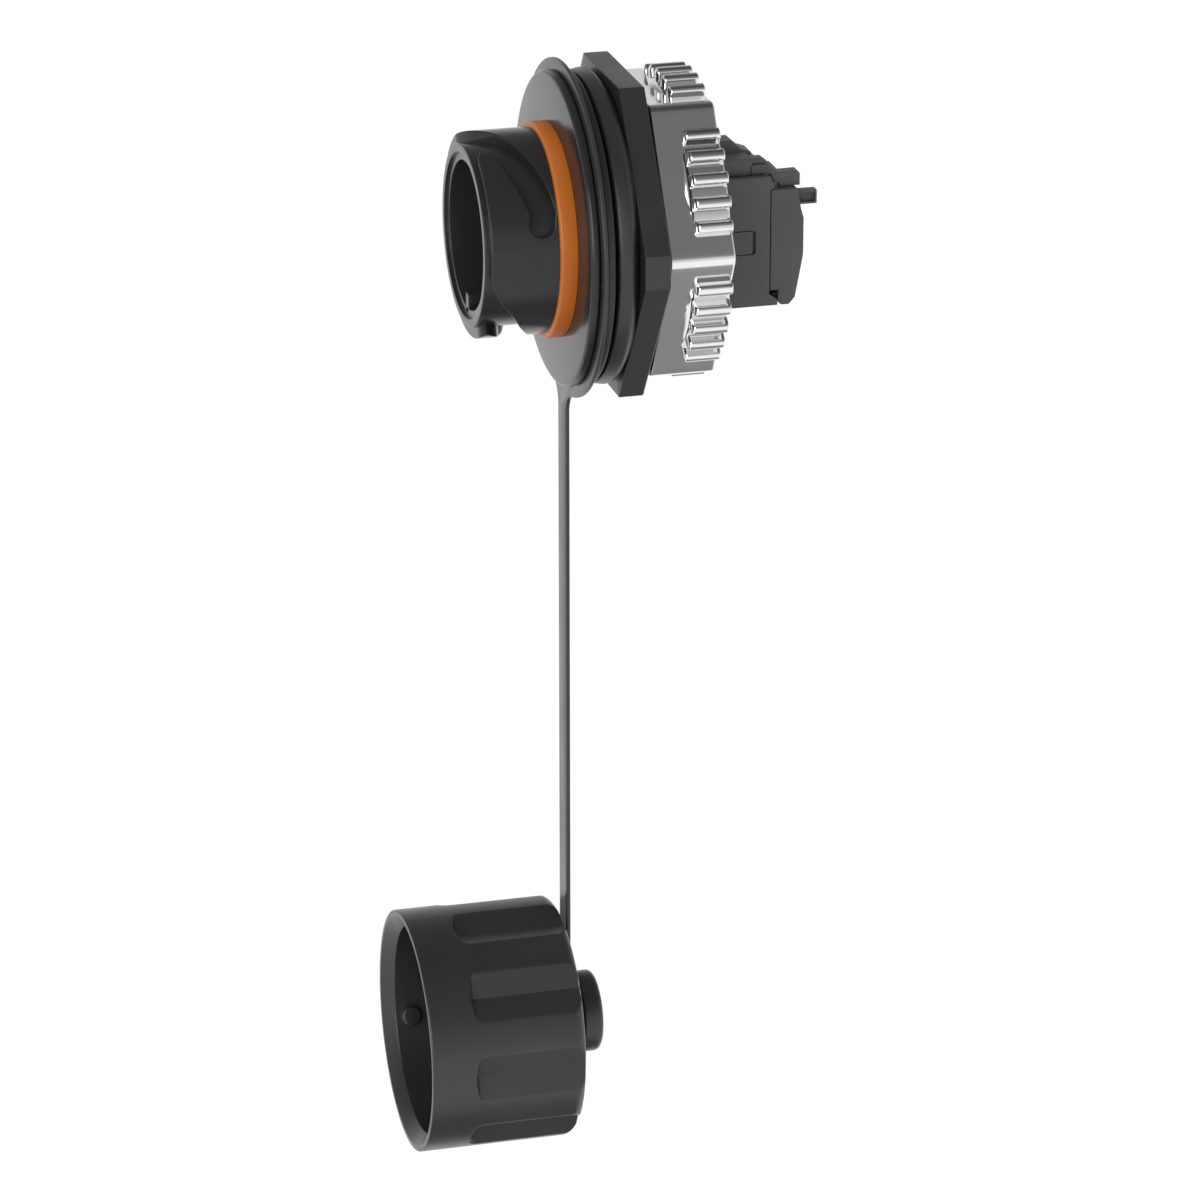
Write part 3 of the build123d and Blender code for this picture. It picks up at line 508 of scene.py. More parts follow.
class ShaderGroups:
    """Shared shader node groups: moulding grain and slow drift over a surface."""

    def __init__(self) -> None:
        """Build each group once."""
        self.grain = self._grain()
        self.drift = self._drift()

    @staticmethod
    def _start(
        name: str, inputs: Sequence[tuple[str, float]], outputs: Sequence[str]
    ) -> tuple[bpy.types.NodeTree, bpy.types.Node, bpy.types.Node, bpy.types.Node]:
        """Make an empty group with Object coordinates as its place.

        Args:
            name: Name of the group.
            inputs: Name and default of each value input.
            outputs: Names of the value outputs.

        Returns:
            The tree, its input node, its output node and its coordinate node.
        """
        tree = bpy.data.node_groups.new(name, "ShaderNodeTree")
        for label, default in inputs:
            socket = tree.interface.new_socket(label, in_out="INPUT", socket_type="NodeSocketFloat")
            socket.default_value = default
        for label in outputs:
            tree.interface.new_socket(label, in_out="OUTPUT", socket_type="NodeSocketFloat")
        source = tree.nodes.new("NodeGroupInput")
        result = tree.nodes.new("NodeGroupOutput")
        place = tree.nodes.new("ShaderNodeTexCoord")
        return tree, source, result, place

    def _grain(self) -> bpy.types.NodeTree:
        """Fine moulding grain: a height for the Bump node.

        Returns:
            The group's tree.
        """
        tree, source, result, place = self._start(
            "moulding_grain", (("Scale", 3000.0), ("Coarse", 0.35)), ("Height",)
        )
        nodes, links = tree.nodes, tree.links
        fine = nodes.new("ShaderNodeTexNoise")
        fine.inputs["Detail"].default_value = 3.0
        links.new(place.outputs["Object"], fine.inputs["Vector"])
        links.new(source.outputs["Scale"], fine.inputs["Scale"])
        wider = math_node(nodes, "MULTIPLY")
        wider.inputs[1].default_value = 0.3
        links.new(source.outputs["Scale"], wider.inputs[0])
        pits = nodes.new("ShaderNodeTexVoronoi")
        links.new(place.outputs["Object"], pits.inputs["Vector"])
        links.new(wider.outputs[0], pits.inputs["Scale"])
        mix = nodes.new("ShaderNodeMix")
        links.new(source.outputs["Coarse"], mix.inputs["Factor"])
        links.new(fine.outputs["Fac"], mix.inputs["A"])
        links.new(pits.outputs["Distance"], mix.inputs["B"])
        links.new(mix.outputs["Result"], result.inputs["Height"])
        return tree

    def _drift(self) -> bpy.types.NodeTree:
        """Slow change over a surface, between a low and a high value.

        Returns:
            The group's tree.
        """
        tree, source, result, place = self._start(
            "surface_drift", (("Scale", 90.0), ("Low", 0.4), ("High", 0.5)), ("Value",)
        )
        nodes, links = tree.nodes, tree.links
        cloud = nodes.new("ShaderNodeTexNoise")
        cloud.inputs["Detail"].default_value = 4.0
        links.new(place.outputs["Object"], cloud.inputs["Vector"])
        links.new(source.outputs["Scale"], cloud.inputs["Scale"])
        spread = nodes.new("ShaderNodeMapRange")
        set_inputs(spread, From_Min=0.3, From_Max=0.7)
        links.new(cloud.outputs["Fac"], spread.inputs["Value"])
        links.new(source.outputs["Low"], spread.inputs["To Min"])
        links.new(source.outputs["High"], spread.inputs["To Max"])
        links.new(spread.outputs["Result"], result.inputs["Value"])
        return tree


@dataclass(frozen=True)
class Finish:
    """Surface finish of a group of pieces.

    Attributes:
        slot: Material slot of the record.
        colour: Linear base colour.
        roughness: Middle of the roughness.
        spread: How far the roughness drifts each way.
        metallic: 1 for bare or plated metal.
        grain: Scale of the moulding grain, per metre.
        depth: Height of the grain, in millimetres.
        tone: How far the colour drifts each way, as a share.
        specular: Specular level of the surface.
        coat, coat_roughness: Weight and roughness of a clear coat.
        rough_scale, tone_scale: Scale of the roughness's and the colour's drift, per metre.
        relief: Strength of the grain's bump.
    """

    slot: str
    colour: tuple[float, float, float]
    roughness: float
    spread: float = 0.03
    metallic: float = 0.0
    grain: float = 5200.0
    depth: float = 0.004
    tone: float = 0.08
    specular: float = 0.5
    coat: float = 0.0
    coat_roughness: float = 0.2
    rough_scale: float = 110.0
    tone_scale: float = 60.0
    relief: float = 0.35

    @staticmethod
    def _place(nodes: bpy.types.Nodes, group: bpy.types.NodeTree, **values: float) -> bpy.types.Node:
        """Add a shared group to a material.

        Args:
            nodes: Nodes of the material.
            group: Tree of the group.
            values: The material's own value of each input.

        Returns:
            The group's node.
        """
        node = nodes.new("ShaderNodeGroup")
        node.node_tree = group
        set_inputs(node, **values)
        return node

    def material(self, groups: ShaderGroups) -> bpy.types.Material:
        """Build the finish's material.

        Args:
            groups: Shared shader node groups.

        Returns:
            The new material.
        """
        made = bpy.data.materials.new(self.slot)
        made.use_nodes = True
        nodes, links = made.node_tree.nodes, made.node_tree.links
        surface = nodes["Principled BSDF"]
        set_inputs(surface, Metallic=self.metallic, Specular_IOR_Level=self.specular)
        set_inputs(surface, Coat_Weight=self.coat, Coat_Roughness=self.coat_roughness)
        low, high = self.roughness - self.spread, self.roughness + self.spread
        rough = self._place(nodes, groups.drift, Scale=self.rough_scale, Low=low, High=high)
        links.new(rough.outputs["Value"], surface.inputs["Roughness"])
        tone = self._place(nodes, groups.drift, Scale=self.tone_scale, Low=0.0, High=1.0)
        shades = nodes.new("ShaderNodeMix")
        shades.data_type = "RGBA"
        shades.inputs["A"].default_value = (*[c * (1 - self.tone) for c in self.colour], 1)
        shades.inputs["B"].default_value = (*[min(c * (1 + self.tone), 1) for c in self.colour], 1)
        links.new(tone.outputs["Value"], shades.inputs["Factor"])
        links.new(shades.outputs["Result"], surface.inputs["Base Color"])
        grain = self._place(nodes, groups.grain, Scale=self.grain)
        bump = nodes.new("ShaderNodeBump")
        set_inputs(bump, Strength=self.relief, Distance=self.depth * MM)
        links.new(grain.outputs["Height"], bump.inputs["Height"])
        links.new(bump.outputs["Normal"], surface.inputs["Normal"])
        return made


FINISHES = (
    Finish("body_black", (0.020, 0.020, 0.0205), 0.20, 0.02, specular=0.36),
    Finish("seal_orange", (0.49, 0.126, 0.008), 0.42, tone=0.05, depth=0.003),
    Finish("gasket_black", (0.014, 0.014, 0.015), 0.42, depth=0.004),
    Finish("tether_black", (0.032, 0.032, 0.0325), 0.28, specular=0.42, depth=0.003),
    Finish("panel_nut_black", (0.0225, 0.0225, 0.023), 0.34),
    Finish("nut_metal", (0.86, 0.86, 0.865), 0.10, 0.015, 1.0, 900.0, 0.0001, 0.02),
    Finish("insert_black", (0.016, 0.016, 0.016), 0.45),
    Finish("socket_black", (0.014, 0.014, 0.0145), 0.45),
    Finish("shield_metal", (0.56, 0.56, 0.55), 0.34, 0.06, 1.0, grain=2600.0, depth=0.002),
    Finish("board_green", (0.010, 0.085, 0.035), 0.32, grain=2200.0, depth=0.003, coat=0.4),
    Finish("terminal_block_white", (0.62, 0.61, 0.57), 0.42),
    Finish("module_grey", (0.056, 0.056, 0.057), 0.45, depth=0.005),
    Finish("contact_gold", (0.83, 0.56, 0.20), 0.20, 0.04, 1.0, grain=2000.0, depth=0.0006),
    Finish("terminal_tin", (0.62, 0.62, 0.61), 0.28, 0.05, 1.0, grain=2400.0, depth=0.001),
    Finish("cap_black", (0.0195, 0.0195, 0.0195), 0.33, specular=0.62),
)


class Workshop:
    """Tools that every sub-assembly shares: finishes, repeats and the frame's nodes."""

    def __init__(self) -> None:
        """Build the shader groups, the materials and the repeat tree."""
        groups = ShaderGroups()
        self.materials = {finish.slot: finish.material(groups) for finish in FINISHES}
        self.copies = TurnedCopies()
        parts = frame["record"]["subparts"]
        self.slot_of = {part["node"]: part["material_slot"] for part in parts}

    def finish_of(self, node: str) -> bpy.types.Material:
        """Material of a node's slot."""
        return self.materials[self.slot_of[node]]

    def make(self, draft: Draft, name: str, node: str) -> bpy.types.Object:
        """Make a piece in the finish of the node that it stands for."""
        return draft.mesh_object(name, self.finish_of(node))

    def settle(self, obj: bpy.types.Object, body: Body, *nodes: str) -> None:
        """Let a piece ride on a body and stand for nodes.

        Args:
            obj: Finished piece.
            body: Body that carries it.
            nodes: Nodes that it replaces.
        """
        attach(obj, body.value)
        if nodes:
            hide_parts(*nodes)
        log.info("%s rides on %s, %d faces", obj.name, body.value, len(obj.data.polygons))

    def dress_rest(self) -> None:
        """Give every node of the frame its finish."""
        for name, obj in frame["nodes"].items():
            obj.data.materials.clear()
            obj.data.materials.append(self.finish_of(name))
            for face in obj.data.polygons:
                face.material_index = 0
        log.info("%d nodes dressed", len(frame["nodes"]))


# Sub-assemblies


@dataclass
class Barrel:
    """Moulded body: slotted barrel, flange, hub and shank.

    Angles are in degrees round the jack's axis, counted from the start of a slot, and the
    points of a slot's edges pair such an angle with a distance behind the lands' front.

    Attributes:
        front: Y of the rim's front face.
        rear: Y of the shank's rear end.
        seal_front: Y of the coloured seal's front.
        seal_rear: Y of the flange's front face.
        hub_rear: Y of the hub's rear face.
        flange_r, flange_thick: Radius and thickness of the flange.
        outer_r: Radius of the lands between the slots.
        nose_r, nose_length: Radius of the nose and of the slots' floor, and its length.
        mouth_r, mouth_depth: Radius and depth of the recess in the rim.
        bore_r: Radius of the bore.
        groove_r: Radius of the groove that holds the coloured seal.
        hub_r: Radius of the hub that the strap turns on.
        shank_r, shank_bore_r: Radius of the threaded shank and of its bore.
        seat_depth: Distance from the hub's rear face to the shoulder.
        slot_turns: Angle at which each slot starts.
        period_start: Angle at which a land ends, past the start of the next slot.
        edge, edge_steps: Radius of the lands' edges and chords in it.
        weave, stagger: Distance between a land's inner points, and shift of every other row.
        margin: Distance of those points from a land's edge.
        side_rows, rear_columns: Steps down a land's straight sides and along its rear edge.
        foot_sink: Depth to which the lands reach into the nose.
        key_half_width, key_height, key_length: Size of the key in the bore.
        detent: Angle, distance and radius of the round pocket at a slot's end.
        detent_arc: First and last angle of the pocket's own circle.
        rear_edge: Rear edge of a slot, from the pocket to the front.
        front_edge: Front edge of a slot, from the mouth to the pocket.
        tip: Bend from the lands' front into the slot's front edge.
        run_out: Where the rear edge has run into the lands' front.
    """

    front: float
    rear: float
    seal_front: float
    seal_rear: float
    hub_rear: float
    flange_r: float
    outer_r: float = 12.5
    nose_r: float = 11.15
    nose_length: float = 0.52
    mouth_r: float = 10.1
    mouth_depth: float = 0.4
    bore_r: float = 9.1
    groove_r: float = 11.7
    flange_thick: float = 1.05
    hub_r: float = 17.0
    shank_r: float = 15.0
    shank_bore_r: float = 13.6
    seat_depth: float = 0.5
    slot_turns: tuple[float, ...] = (0.0, 116.5, 233.0)
    period_start: float = 5.0
    edge: float = 0.17
    edge_steps: int = 4
    weave: float = 0.55
    stagger: float = 0.25
    margin: float = 0.22
    side_rows: int = 12
    rear_columns: int = 44
    foot_sink: float = 0.05
    key_half_width: float = 0.7
    key_height: float = 1.76
    key_length: float = 9.2
    detent: Point3 = (20.0, 6.35, 1.55)
    detent_arc: Point2 = (-62.0, -275.0)
    rear_edge: tuple[Point2, ...] = (
        (27.4, 8.1), (45.0, 7.2), (67.0, 5.4), (77.0, 4.4), (89.5, 3.15), (104.0, 1.1), (113.0, 0.3),
    )
    front_edge: tuple[Point2, ...] = (
        (67.6, 1.15), (60.9, 2.2), (49.3, 3.1), (38.3, 4.1), (27.4, 4.95),
    )
    tip: tuple[Point2, ...] = ((61.5, 0.0), (65.0, 0.12), (68.0, 0.45), (68.6, 0.75))
    run_out: tuple[Point2, ...] = ((117.0, 0.02), (119.0, 0.0))

    @property
    def step(self) -> float:
        """Y of the step between the nose and the lands."""
        return self.front + self.nose_length

    @property
    def foot_r(self) -> float:
        """Radius at which the lands end, just under the nose's surface."""
        return self.nose_r - self.foot_sink

    def _edge_line(self, last: float) -> list[Vector]:
        """Front boundary of a land: the lands' front, then round its slot.

        Args:
            last: Angle at which the land ends.

        Returns:
            Points as (arc length, y).
        """
        angle, depth, radius = self.detent
        span = math.degrees(radius / self.outer_r)
        start, end = (math.radians(a) for a in self.detent_arc)
        steps = 26
        turns = [start + (end - start) * i / steps for i in range(steps + 1)]
        first, leave = self.period_start, self.tip[0][0]
        line = [(first + (leave - first) * i / 30, 0.0) for i in range(30)]
        line += smooth_path([*self.tip, self.front_edge[0]], 4)
        line += smooth_path(self.front_edge, 5)[1:]
        line += [(angle + span * math.cos(a), depth + radius * math.sin(a)) for a in turns]
        line += smooth_path(self.rear_edge, 6)
        leave, settle = self.run_out
        line.append(leave)
        line += [(settle[0] + (last - settle[0]) * i / 4, settle[1]) for i in range(5)]
        scale = math.radians(self.outer_r)
        return [Vector((a * scale, self.step + d)) for a, d in line]

    @staticmethod
    def _outward(line: Sequence[Vector]) -> list[Vector]:
        """Direction away from the land at each point of its front boundary.

        Args:
            line: Front boundary, as (arc length, y).

        Returns:
            One direction for each point.
        """
        out: list[Vector] = []
        for i, here in enumerate(line):
            before = here - line[i - 1] if i else line[1] - here
            after = line[i + 1] - here if i + 1 < len(line) else here - line[i - 1]
            tangent = (before.normalized() + after.normalized()).normalized()
            out.append(Vector((tangent.y, -tangent.x)))
        return out

    def _close_land(self, first: Sequence[Vector]) -> list[Point2]:
        """Close a land's front boundary by its straight sides and its rear edge.

        Args:
            first: Front boundary, as (arc length, y).

        Returns:
            The closed boundary.
        """
        left, right = first[0].x, first[-1].x
        top, rear = first[0].y, self.seal_front
        rows, columns = self.side_rows, self.rear_columns
        side = [top + (rear - top) * i / rows for i in range(1, rows + 1)]
        bottom = [(left + (right - left) * i / columns, rear) for i in range(1, columns)]
        loop = [tuple(p) for p in first]
        loop += [(right, y) for y in side]
        loop += reversed(bottom)
        loop += [(left, y) for y in reversed(side)]
        return loop

    def _weave_points(self, loop: Sequence[Point2], left: float, right: float) -> list[Point2]:
        """Points that keep the faces of a land small.

        Args:
            loop: Closed boundary of the land.
            left: Arc length of its first side.
            right: Arc length of its last side.

        Returns:
            Points inside the boundary, in staggered rows.
        """
        inner: list[Point2] = []
        across = int((right - left) / self.weave)
        down = int((self.seal_front - self.step) / self.weave)
        for i in range(1, across):
            for j in range(1, down):
                shift = self.stagger * self.weave * (1 if j % 2 else -1)
                x = left + (right - left) * i / across + shift
                y = self.step + (self.seal_front - self.step) * j / down
                if self._inside((x, y), loop, self.margin):
                    inner.append((x, y))
        return inner

    def _land(self, draft: Draft, normals: dict[int, Vector], turn: float, last: float) -> None:
        """Add one land: the barrel's outer skin with the slot's walls.

        Args:
            draft: Mesh that gets the land.
            normals: Normal of each point by its number, added to here.
            turn: Angle of the land's slot, in degrees.
            last: Angle at which the land ends, counted from its slot.
        """
        line = self._edge_line(last)
        out = self._outward(line)
        first = [p - n * self.edge for p, n in zip(line, out)]
        loop = self._close_land(first)
        inner = self._weave_points(loop, first[0].x, first[-1].x)
        count = len(loop)
        wanted = [Vector(p) for p in loop + inner]
        edges = [(i, (i + 1) % count) for i in range(count)]
        points, _, faces, *_ = delaunay_2d_cdt(wanted, edges, [list(range(count))], 1, 1e-6)
        base = math.radians(turn)
        top = draft.ring([self._wrap(p, self.outer_r, base) for p in points])
        under = draft.ring([self._wrap(p, self.foot_r, base) for p in points])
        for p, a, b in zip(points, top, under):
            normals[a] = self._direction(p.x, base)
            normals[b] = -normals[a]
        draft.faces.extend(tuple(top[i] for i in face) for face in faces)
        draft.faces.extend(tuple(under[i] for i in reversed(face)) for face in faces)
        self._round_over(draft, normals, line, out, base, top[: len(line)], under[: len(line)])
        start = len(line) + self.side_rows - 1
        back = range(start, start + self.rear_columns + 1)
        draft.bridge([top[i] for i in back], [under[i] for i in back], closed=False)

    def _round_over(
        self, draft: Draft, normals: dict[int, Vector], line: Sequence[Vector],
        out: Sequence[Vector], base: float, top: Sequence[int], under: Sequence[int],
    ) -> None:
        """Add the rounded edge and the wall below it along a land's boundary.

        Args:
            draft: Mesh that gets the faces.
            normals: Normal of each point by its number, added to here.
            line: Front boundary, as (arc length, y).
            out: Direction away from the land at each of its points.
            base: Angle of the land's slot, in radians.
            top: Numbers of the boundary's points on the skin.
            under: Numbers of the same points on the underside.
        """
        last = list(top)
        for a in quarter_turn(self.edge_steps)[1:]:
            back = self.edge * (1 - math.sin(a))
            radius = self.outer_r - self.edge * (1 - math.cos(a))
            ring = draft.ring([self._wrap(p - n * back, radius, base) for p, n in zip(line, out)])
            for p, n, number in zip(line, out, ring):
                radial = self._direction(p.x, base)
                wall = self._tangent(p.x, base) * n.x + Vector((0, n.y, 0))
                normals[number] = (radial * math.cos(a) + wall * math.sin(a)).normalized()
            draft.bridge(last, ring, closed=False)
            last = ring
        foot = draft.ring([self._wrap(p, self.foot_r, base) for p in line])
        for p, n, number in zip(line, out, foot):
            normals[number] = self._tangent(p.x, base) * n.x + Vector((0, n.y, 0))
        draft.bridge(last, foot, closed=False)
        draft.bridge(foot, under, closed=False)

    @staticmethod
    def _inside(point: Point2, loop: Sequence[Point2], margin: float) -> bool:
        """Whether a point lies in a loop and clear of its line.

        Args:
            point: Point to test.
            loop: Closed line.
            margin: Distance that the point has to keep from the line.

        Returns:
            True where the point may be used.
        """
        inside = False
        x, y = point
        for (x0, y0), (x1, y1) in zip(loop, [*loop[1:], loop[0]]):
            if (y0 > y) != (y1 > y) and x < (x1 - x0) * (y - y0) / (y1 - y0) + x0:
                inside = not inside
            dx, dy = x1 - x0, y1 - y0
            t = max(0.0, min(1.0, ((x - x0) * dx + (y - y0) * dy) / (dx * dx + dy * dy)))
            if math.hypot(x0 + t * dx - x, y0 + t * dy - y) < margin:
                return False
        return inside

    def _direction(self, arc_length: float, base: float) -> Vector:
        """Outward direction at an arc length on the barrel."""
        a = arc_length / self.outer_r + base
        return Vector((math.cos(a), 0, math.sin(a)))

    def _tangent(self, arc_length: float, base: float) -> Vector:
        """Direction in which the arc length grows."""
        a = arc_length / self.outer_r + base
        return Vector((-math.sin(a), 0, math.cos(a)))

    def _wrap(self, point: Vector, radius: float, base: float) -> Point3:
        """Place a flat point on a cylinder about the jack's axis."""
        out = self._direction(point.x, base)
        return (radius * out.x, point.y, radius * out.z)

    def _core_profile(self) -> list[Point2]:
        """Profile of everything on the body that is round.

        Returns:
            Closed outline as (radius, y).
        """
        flange_rear = self.seal_rear + self.flange_thick
        seat = self.hub_rear + self.seat_depth
        floor = self.front + self.mouth_depth
        return rounded(
            [
                (self.bore_r, floor, 0.08), (self.mouth_r, floor, 0.05),
                (self.mouth_r, self.front, 0.09), (self.nose_r, self.front, 0.14),
                (self.nose_r, self.seal_front, 0.0), (self.groove_r, self.seal_front, 0.0),
                (self.groove_r, self.seal_rear, 0.0), (self.flange_r, self.seal_rear, 0.6),
                (self.flange_r, flange_rear, 0.15), (self.hub_r, flange_rear, 0.0),
                (self.hub_r, self.hub_rear, 0.0), (self.shank_r, self.hub_rear, 0.0),
                (self.shank_r, self.rear, 0.3), (self.shank_bore_r, self.rear, 0.15),
                (self.shank_bore_r, seat, 0.0), (self.bore_r, seat, 0.1),
            ]
        )

    def build(self, shop: Workshop) -> None:
        """Make the body in two pieces: the lands, and all that is round with the key.

        Args:
            shop: Shared tools.
        """
        lands = Draft()
        normals: dict[int, Vector] = {}
        ends = [*self.slot_turns[1:], self.slot_turns[0] + 360]
        for turn, after in zip(self.slot_turns, ends):
            self._land(lands, normals, turn, after - turn + self.period_start)
        skin = shop.make(lands, "body_lands", "jack_body")
        self._set_normals(skin, lands, normals)
        core = Draft()
        core.lathe(self._core_profile(), ROUND_STEPS)
        floor = self.front + self.mouth_depth
        half, root = self.key_half_width, 0.6
        key_end = (half, floor + self.key_length, self.key_height - self.bore_r)
        core.block((-half, floor, -self.bore_r - root), key_end, 0.1, 0.08)
        body = shop.make(core, "body_core", "jack_body")
        shop.settle(body, Body.JACK, "jack_body")
        shop.settle(skin, Body.JACK, "jack_body")

    @staticmethod
    def _set_normals(obj: bpy.types.Object, draft: Draft, normals: dict[int, Vector]) -> None:
        """Give the skin the exact normals of a cylinder with rounded edges.

        Args:
            obj: Piece made from the draft.
            draft: Mesh that the normals were worked out on.
            normals: Normal of each point of the draft by its number.
        """
        grid = 2000  # points are matched by their place, to half a micrometre
        groups: dict[tuple[int, ...], list[Vector]] = {}
        for number, normal in normals.items():
            key = tuple(round(c * grid) for c in draft.points[number])
            groups.setdefault(key, []).append(normal)
        mesh = obj.data
        loops: list[Vector] = [Vector((0, 0, 0))] * len(mesh.loops)
        for face in mesh.polygons:
            for index in face.loop_indices:
                point = mesh.vertices[mesh.loops[index].vertex_index].co / MM
                key = tuple(round(c * grid) for c in point)
                choices = groups.get(key, [face.normal])
                loops[index] = max(choices, key=lambda n: n.dot(face.normal))
        mesh.normals_split_custom_set(loops)


@dataclass
class Rings:
    """Coloured seal on the barrel and gasket behind the flange.

    Attributes:
        chamfer: Round on the coloured seal's leading edge.
        rear_edge: Round on its rear edge.
        gasket_edge: Round on both edges of the gasket.
        gasket_gap: Clearance between the gasket and the shank.
    """

    chamfer: float = 0.34
    rear_edge: float = 0.06
    gasket_edge: float = 0.3
    gasket_gap: float = 0.05

    @staticmethod
    def _ring(shop: Workshop, name: str, node: str, inner: float, edges: Point2) -> None:
        """Make one ring as long and as wide as its node.

        Args:
            shop: Shared tools.
            name: Name of the piece.
            node: Node that it stands for.
            inner: Inner radius.
            edges: Round of the front and of the rear edge.
        """
        low, high = node_span(node)
        front, rear = edges
        corners = [
            (inner, low.y, 0.0),
            (high.x, low.y, front),
            (high.x, high.y, rear),
            (inner, high.y, 0.0),
        ]
        ring = Draft()
        ring.lathe(rounded(corners), ROUND_STEPS)
        shop.settle(shop.make(ring, name, node), Body.JACK, node)

    def build(self, shop: Workshop) -> None:
        """Make both rings.

        Args:
            shop: Shared tools.
        """
        edges = (self.chamfer, self.rear_edge)
        self._ring(shop, "coloured_seal", "coupling_seal", Barrel.groove_r, edges)
        edges = (self.gasket_edge, self.gasket_edge)
        self._ring(shop, "gasket", "panel_seal", Barrel.shank_r + self.gasket_gap, edges)


def polar_ring(radius: Callable[[float], float], angles: Sequence[float], y: float) -> list[Point3]:
    """Ring of points whose radius depends on the angle."""
    return [(radius(a) * math.cos(a), y, radius(a) * math.sin(a)) for a in angles]


@dataclass
class PanelNut:
    """Plastic nut with a round collar, flat on top and below, and a trimmed corner on each side.

    Attributes:
        top_flat: Half the width of the flats on top and below.
        side_flat: Half the height of the flats at the sides.
        collar_r, collar_length: Radius and length of the collar.
        taper: How much narrower the collar is at its front, and the round of its front edge.
        bevel, bevel_round: Length of the narrowing to the slanted sides, and its first round.
        neck_r: Radius at the bevel's rear end.
        overlap: Distance inwards and rearwards over which the collar reaches into the flats.
        bore: Radius of the hole.
        corner: Round of the corners.
        edges: Round of the outline's front and rear edge.
    """

    top_flat: float = 8.4
    side_flat: float = 2.05
    collar_r: float = 19.3
    collar_length: float = 2.7
    taper: float = 0.35
    bevel: float = 0.9
    bevel_round: float = 0.8
    neck_r: float = 17.95
    overlap: Point2 = (0.3, 0.2)
    bore: float = Barrel.shank_r + THREAD_GAP
    corner: float = 0.15
    edges: Point2 = (0.12, 0.22)

    def build(self, shop: Workshop) -> None:
        """Make the nut.

        Args:
            shop: Shared tools.
        """
        low, high = node_span("panel_nut")
        step = low.y + self.collar_length
        inwards, rearwards = self.overlap
        profile = [
            (self.bore, low.y, 0.0),
            (self.collar_r - self.taper, low.y, self.taper),
            (self.collar_r, step - self.bevel, self.bevel_round),
            (self.neck_r, step, 0.0), (self.neck_r - inwards, step + rearwards, 0.0),
            (self.bore, step + rearwards, 0.0),
        ]
        nut = Draft()
        nut.lathe(rounded(profile), ROUND_STEPS)
        quarter = ((high.x, self.side_flat), (self.top_flat, high.z))
        corners = [*quarter, *((-u, v) for u, v in reversed(quarter))]
        corners += [(-u, -v) for u, v in corners]
        outline = Outline(tuple((u, v, self.corner) for u, v in corners), 4, 16)
        nut.collar(outline, ((self.bore, high.y), (self.bore, step)), step, high.y, self.edges, 5)
        shop.settle(shop.make(nut, "hex_nut", "panel_nut"), Body.PANEL_NUT, "panel_nut")


